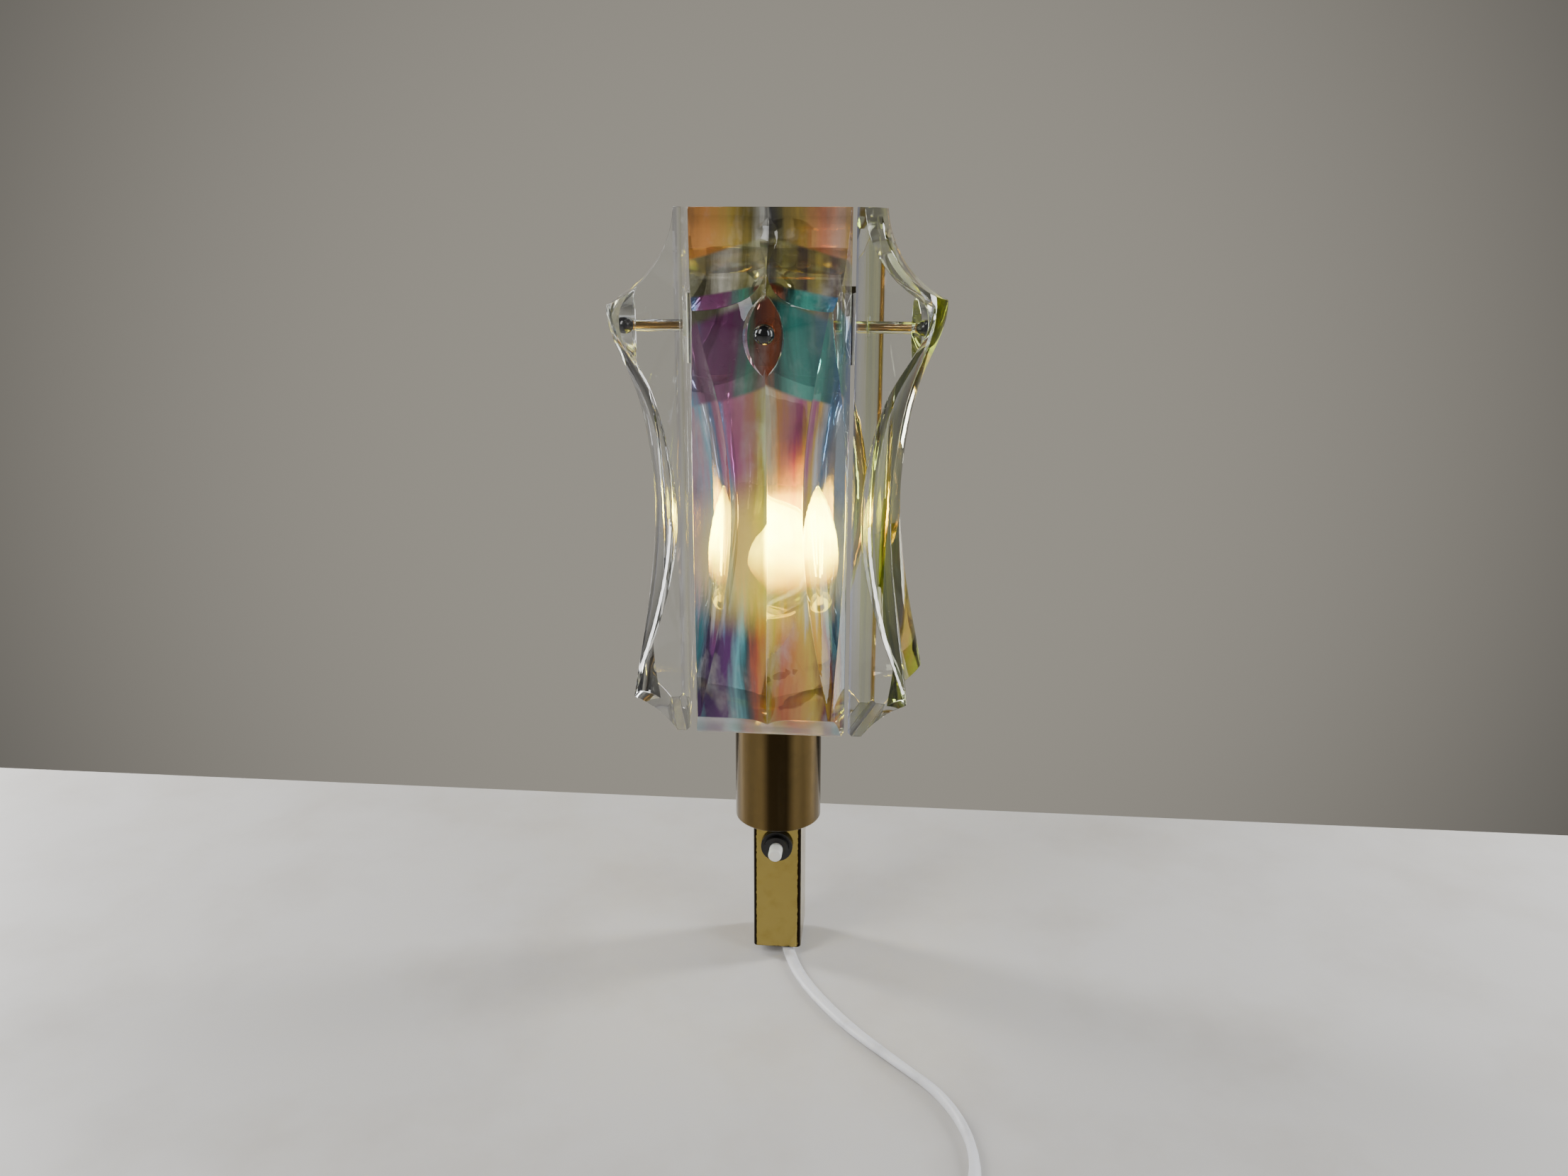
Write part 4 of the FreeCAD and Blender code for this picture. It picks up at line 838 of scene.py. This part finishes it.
class SCONCE_OT_lamp(bpy.types.Operator):
    """Gives the lampholder, its socket and the bulb their materials."""

    bl_idname = "sconce.lamp"
    bl_label = "Lamp"

    def execute(self, context):
        # pressed phenolic: brown-black, with a dull shine
        dress(["lampholder"], moulded_plastic("black_phenolic", "#16130F", "#241E16", 0.28))
        # nickel plate: pale and slightly warm, with a clear shine
        nickel = plain_metal("nickel_plate", "#C8C4BA", 0.2, 0.9, "#8A867C")
        dress(["socket_shell", "bulb_cap"], nickel)
        # spring bronze: reddish, with a soft shine
        bronze = plain_metal("spring_bronze", "#B88850", 0.25, 0.8, "#705030")
        dress(["socket_contact"], bronze)
        # undyed nylon: milky, and light goes a little way into it
        nylon = moulded_plastic("clear_white_nylon", "#E6E4DE", "#CFCCC2", 0.3, soft=0.1)
        dress(["wire_bush", "pin_washers"], nylon)
        # glazed white collar: warm white with a gloss
        collar = moulded_plastic("glazed_white_collar", "#E8E2D4", "#CFC4AC", 0.22)
        dress(["bulb_collar"], collar)
        dress(["bulb_glass"], bulb_glass())
        # pressed glass, a little less clear than the blown glass round it
        stem = new_material(
            "pressed_stem_glass",
            IOR=1.5,
            Transmission_Weight=1.0,
            Roughness=0.05,
            Base_Color="#FFF6E4",
        )[0]
        dress(["bulb_stem"], stem)
        dress(["bulb_filaments"], light_strip())
        return {"FINISHED"}


class SCONCE_OT_switch(bpy.types.Operator):
    """Gives the push switch and the wiring in the box their materials."""

    bl_idname = "sconce.switch"
    bl_label = "Switch and wiring"

    def execute(self, context):
        # pressed phenolic, nearly black
        phenolic = moulded_plastic("black_phenolic_switch", "#100F0E", "#201C18", 0.3)
        dress(["switch_body", "switch_nut"], phenolic)
        # urea resin: a warm white that light goes a little way into
        urea = moulded_plastic("white_urea_button", "#EDEAE2", "#D6D0C2", 0.25, soft=0.1)
        dress(["switch_button"], urea)
        spring = merged_copy("button_spring", "return_spring")
        # drawn spring steel: plain grey
        steel = plain_metal("spring_steel", "#9A9A98", 0.25, 0.5, "#606060")
        spring = settle(spring, "frame", steel)
        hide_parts("button_spring")
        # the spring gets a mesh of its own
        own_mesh(spring)
        # dyed nylon: a flat, yellowish white
        nylon = moulded_plastic("white_nylon_block", "#DEDAD0", "#C4BEB0", 0.35)
        dress(["terminal_block", "cord_grip"], nylon)
        # soft insulation: plain brown
        dress(["leads"], moulded_plastic("wire_insulation", "#6A4A2C", "#4A3420", 0.35))
        return {"FINISHED"}


def coil_points(entry, lead):
    """The coil's middle line: two layers, inward on the table and outward on top."""
    pitch = lead.turn_pitch
    outer = lead.coil_radius
    middle = entry - Vector((outer, 4 * MM, 0))
    inward = [(outer - number * pitch / 2, 0.0) for number in range(HALF_TURNS_IN)]
    innermost = inward[-1][0] - pitch / 2
    outward = [
        (innermost + pitch * (number / 2 + 0.5), LAYER_RISE)
        for number in range(1, HALF_TURNS_OUT + 1)
    ]
    halves = inward + [(innermost, LAYER_RISE)] + outward
    points = []
    for number, ((radius, rise), (next_radius, next_rise)) in enumerate(zip(halves, halves[1:])):
        for step in range(POINTS_PER_HALF_TURN):
            share = step / POINTS_PER_HALF_TURN
            angle = -math.pi * (number + share)
            reach = radius + (next_radius - radius) * share
            level = rise + (next_rise - rise) * share
            points.append(middle + Vector((math.cos(angle) * reach, math.sin(angle) * reach, level)))
    radius, rise = halves[-1]
    points.append(middle + Vector((radius, 0, rise)))
    return points


def strain_relief(line):
    """The ribbed sleeve, of the plug's own plastic, where the lead goes into the plug. It
    follows the lead, so it is a tube round the end of the lead's own line, which widens
    towards the plug. Two of each four of its rings stand out as a rib, and both its ends
    are plain."""
    reach, ring_step, rib_height = 23 * MM, 0.75 * MM, 0.35 * MM
    thin_end, thick_end = Vector((2.75, 2.45)) * MM, Vector((3.85, 3.25)) * MM
    first = len(line) - 1
    while first > 0 and (line[first] - line[-1]).length < reach:
        first -= 1
    run = [line[first].copy()]
    for before, after in zip(line[first:], line[first + 1:]):
        steps = max(1, round((after - before).length / ring_step))
        run += [before.lerp(after, step / steps) for step in range(1, steps + 1)]
    sections = []
    for number in range(len(run)):
        share = number / (len(run) - 1)
        rib = rib_height if number % 4 in (1, 2) and 0.08 < share < 0.94 else 0
        half_width, half_thickness = thin_end.lerp(thick_end, share)
        sections.append((half_width + rib, half_thickness + rib, 0.0))
    return oval_tube("plug_sleeve", run, sections, sides=24)


class SCONCE_OT_mains_lead(bpy.types.Operator):
    """Lays the white lead from the clamp over the table into its coil and to the plug."""

    bl_idname = "sconce.mains_lead"
    bl_label = "Mains lead"

    def execute(self, context):
        lead = context.scene.sconce_lead
        open_run = [Vector(point[:3]) * MM for point in LEAD_ROUTE]
        coil = coil_points(open_run[-1], lead)
        finish = coil[-1] + Vector((0, -4 * MM, 0))
        tail = [finish] + [finish + Vector((*step, 0)) * MM for step in TAIL_STEPS]
        line = centre_line("lead_line", open_run + coil + tail)
        turns = [math.radians(point[3]) for point in LEAD_ROUTE]
        marks = [nearest_point(line[:OPEN_POINTS], point) for point in open_run]
        settled = marks[-2]
        sections = []
        for number in range(len(line)):
            after = next((k for k, mark in enumerate(marks) if mark >= number), None)
            turn = 0.0
            if after:
                share = (number - marks[after - 1]) / max(1, marks[after] - marks[after - 1])
                turn = turns[after - 1] + (turns[after] - turns[after - 1]) * share
            coiled = min(1.0, max(0.0, (number - settled) / SETTLING_POINTS))
            width = lead.width + (lead.coiled_width - lead.width) * coiled
            thickness = lead.thickness + (lead.coiled_thickness - lead.thickness) * coiled
            sections.append((width / 2, thickness / 2, turn))
        sheath = oval_tube("mains_lead", line, sections)
        sheath = settle(sheath, "frame", lead_sheath())
        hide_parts("cord_free", "cord_coil", "cord_tail")
        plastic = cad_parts["plug_body"].data.materials[0]
        sleeve = settle(strain_relief(line), "frame", plastic)
        return {"FINISHED"}


class SCONCE_OT_plug(bpy.types.Operator):
    """Gives the two-pin plug its materials."""

    bl_idname = "sconce.plug"
    bl_label = "Plug"

    def execute(self, context):
        # moulded PVC: a cool white with a dull shine
        dress(["plug_body"], moulded_plastic("white_pvc_plug", "#E6E6E4", "#C8C8C4", 0.35))
        # plated brass pins: pale, with fine marks from use
        dress(["plug_pins"], plain_metal("plug_pin_brass", "#C8C0A8", 0.25, 0.6, "#8A8470"))
        return {"FINISHED"}


class SCONCE_OT_stage(bpy.types.Operator):
    """Sets the pale table, the soft lights and the camera."""

    bl_idname = "sconce.stage"
    bl_label = "Stage"

    def execute(self, context):
        settings = context.scene.sconce_stage
        deselect()
        bpy.ops.mesh.primitive_plane_add(size=1, location=(0, -0.88, FLOOR_LEVEL))
        table = bpy.context.object
        table.name = "table"
        # three metres wide and two deep
        table.scale = (3, 2, 1)
        bpy.ops.object.transform_apply(location=True, rotation=True, scale=True)
        table.data.materials.append(table_top())

        for name, place, size, power, tint in (
            ("key_light", (-0.75, -0.75, 0.65), (0.45, 0.9), settings.key_power, "#FFFDFA"),
            ("fill_light", (0.85, -0.6, 0.3), (0.3, 0.9), settings.fill_power, "#F4F8FF"),
            ("left_rim_light", (-0.62, 0.2, 0.1), (0.12, 0.7), settings.rim_power, "#FFFFFF"),
            ("right_rim_light", (0.62, 0.2, 0.1), (0.12, 0.7), settings.rim_power, "#FFFFFF"),
        ):
            light = bpy.data.lights.new(name, "AREA")
            light.shape = "RECTANGLE"
            light.size, light.size_y = size
            light.energy = power
            light.color = linear(tint)[:3]
            lamp = bpy.data.objects.new(name, light)
            lamp.location = place
            aim = LIT_PLACE - Vector(place)
            lamp.rotation_euler = aim.to_track_quat("-Z", "Y").to_euler()
            context.scene.collection.objects.link(lamp)

        world = bpy.data.worlds.new("soft_room")
        world.use_nodes = True
        tree = world.node_tree
        tree.nodes.clear()
        direction = add(tree, "TexCoord").outputs["Generated"]
        forward = add(tree, "SeparateXYZ", direction).outputs["Y"]
        behind = add(tree, "MapRange", forward, 0.2, -0.6, **SMOOTH)
        shade = add(tree, "Mix", behind, "#565451", "#8C8C8C", **COLOUR)
        # a soft pool of light behind the object
        pool_place = Vector((-0.09, 0.98, -0.17)).normalized()
        nearness = add(tree, "VectorMath", direction, pool_place, operation="DOT_PRODUCT")
        pool = add(tree, "MapRange", nearness, 0.72, 1.0, **SMOOTH)
        shade = add(tree, "Mix", pool, shade, "#ACA79C", **COLOUR)
        background = add(tree, "Background", Color=shade, Strength=0.8)
        add(tree, "OutputWorld", Surface=background)
        context.scene.world = world

        camera = bpy.data.cameras.new("camera")
        camera.lens = settings.lens
        camera.sensor_width = 36
        camera.clip_start = 0.01
        viewer = bpy.data.objects.new("camera", camera)
        context.scene.collection.objects.link(viewer)
        viewer.matrix_world = (
            Matrix.Translation(settings.place)
            @ Matrix.Rotation(settings.heading, 4, "Z")
            @ Matrix.Rotation(math.pi / 2 - settings.pitch, 4, "X")
            @ Matrix.Rotation(settings.roll, 4, "Z")
        )
        context.scene.camera = viewer
        return {"FINISHED"}


class SCONCE_PT_panel(bpy.types.Panel):
    """Lists the steps in the order in which they are done."""

    bl_idname = "SCONCE_PT_panel"
    bl_label = "Crystal wall sconce"
    bl_space_type = "VIEW_3D"
    bl_region_type = "UI"
    bl_category = "Sconce"

    def draw(self, context):
        for operator in STEPS:
            self.layout.operator(operator.bl_idname)
        scene = context.scene
        for settings in (scene.sconce_finish, scene.sconce_lead, scene.sconce_stage):
            for name in settings.__annotations__:
                self.layout.prop(settings, name)


STEPS = (
    SCONCE_OT_crystals,
    SCONCE_OT_metalwork,
    SCONCE_OT_lamp,
    SCONCE_OT_switch,
    SCONCE_OT_plug,
    SCONCE_OT_mains_lead,
    SCONCE_OT_stage,
)
CLASSES = (FinishSettings, LeadSettings, StageSettings, *STEPS, SCONCE_PT_panel)


def register():
    """Makes the panel, the operators and their settings known."""
    for kind in CLASSES:
        bpy.utils.register_class(kind)
    bpy.types.Scene.sconce_finish = PointerProperty(type=FinishSettings)
    bpy.types.Scene.sconce_lead = PointerProperty(type=LeadSettings)
    bpy.types.Scene.sconce_stage = PointerProperty(type=StageSettings)


def unregister():
    """Takes them away again."""
    del bpy.types.Scene.sconce_stage
    del bpy.types.Scene.sconce_lead
    del bpy.types.Scene.sconce_finish
    for kind in reversed(CLASSES):
        bpy.utils.unregister_class(kind)


def main():
    """Registers the add-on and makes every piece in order."""
    register()
    for operator in STEPS:
        group, name = operator.bl_idname.split(".")
        getattr(getattr(bpy.ops, group), name)()


if __name__ == "__main__":
    main()
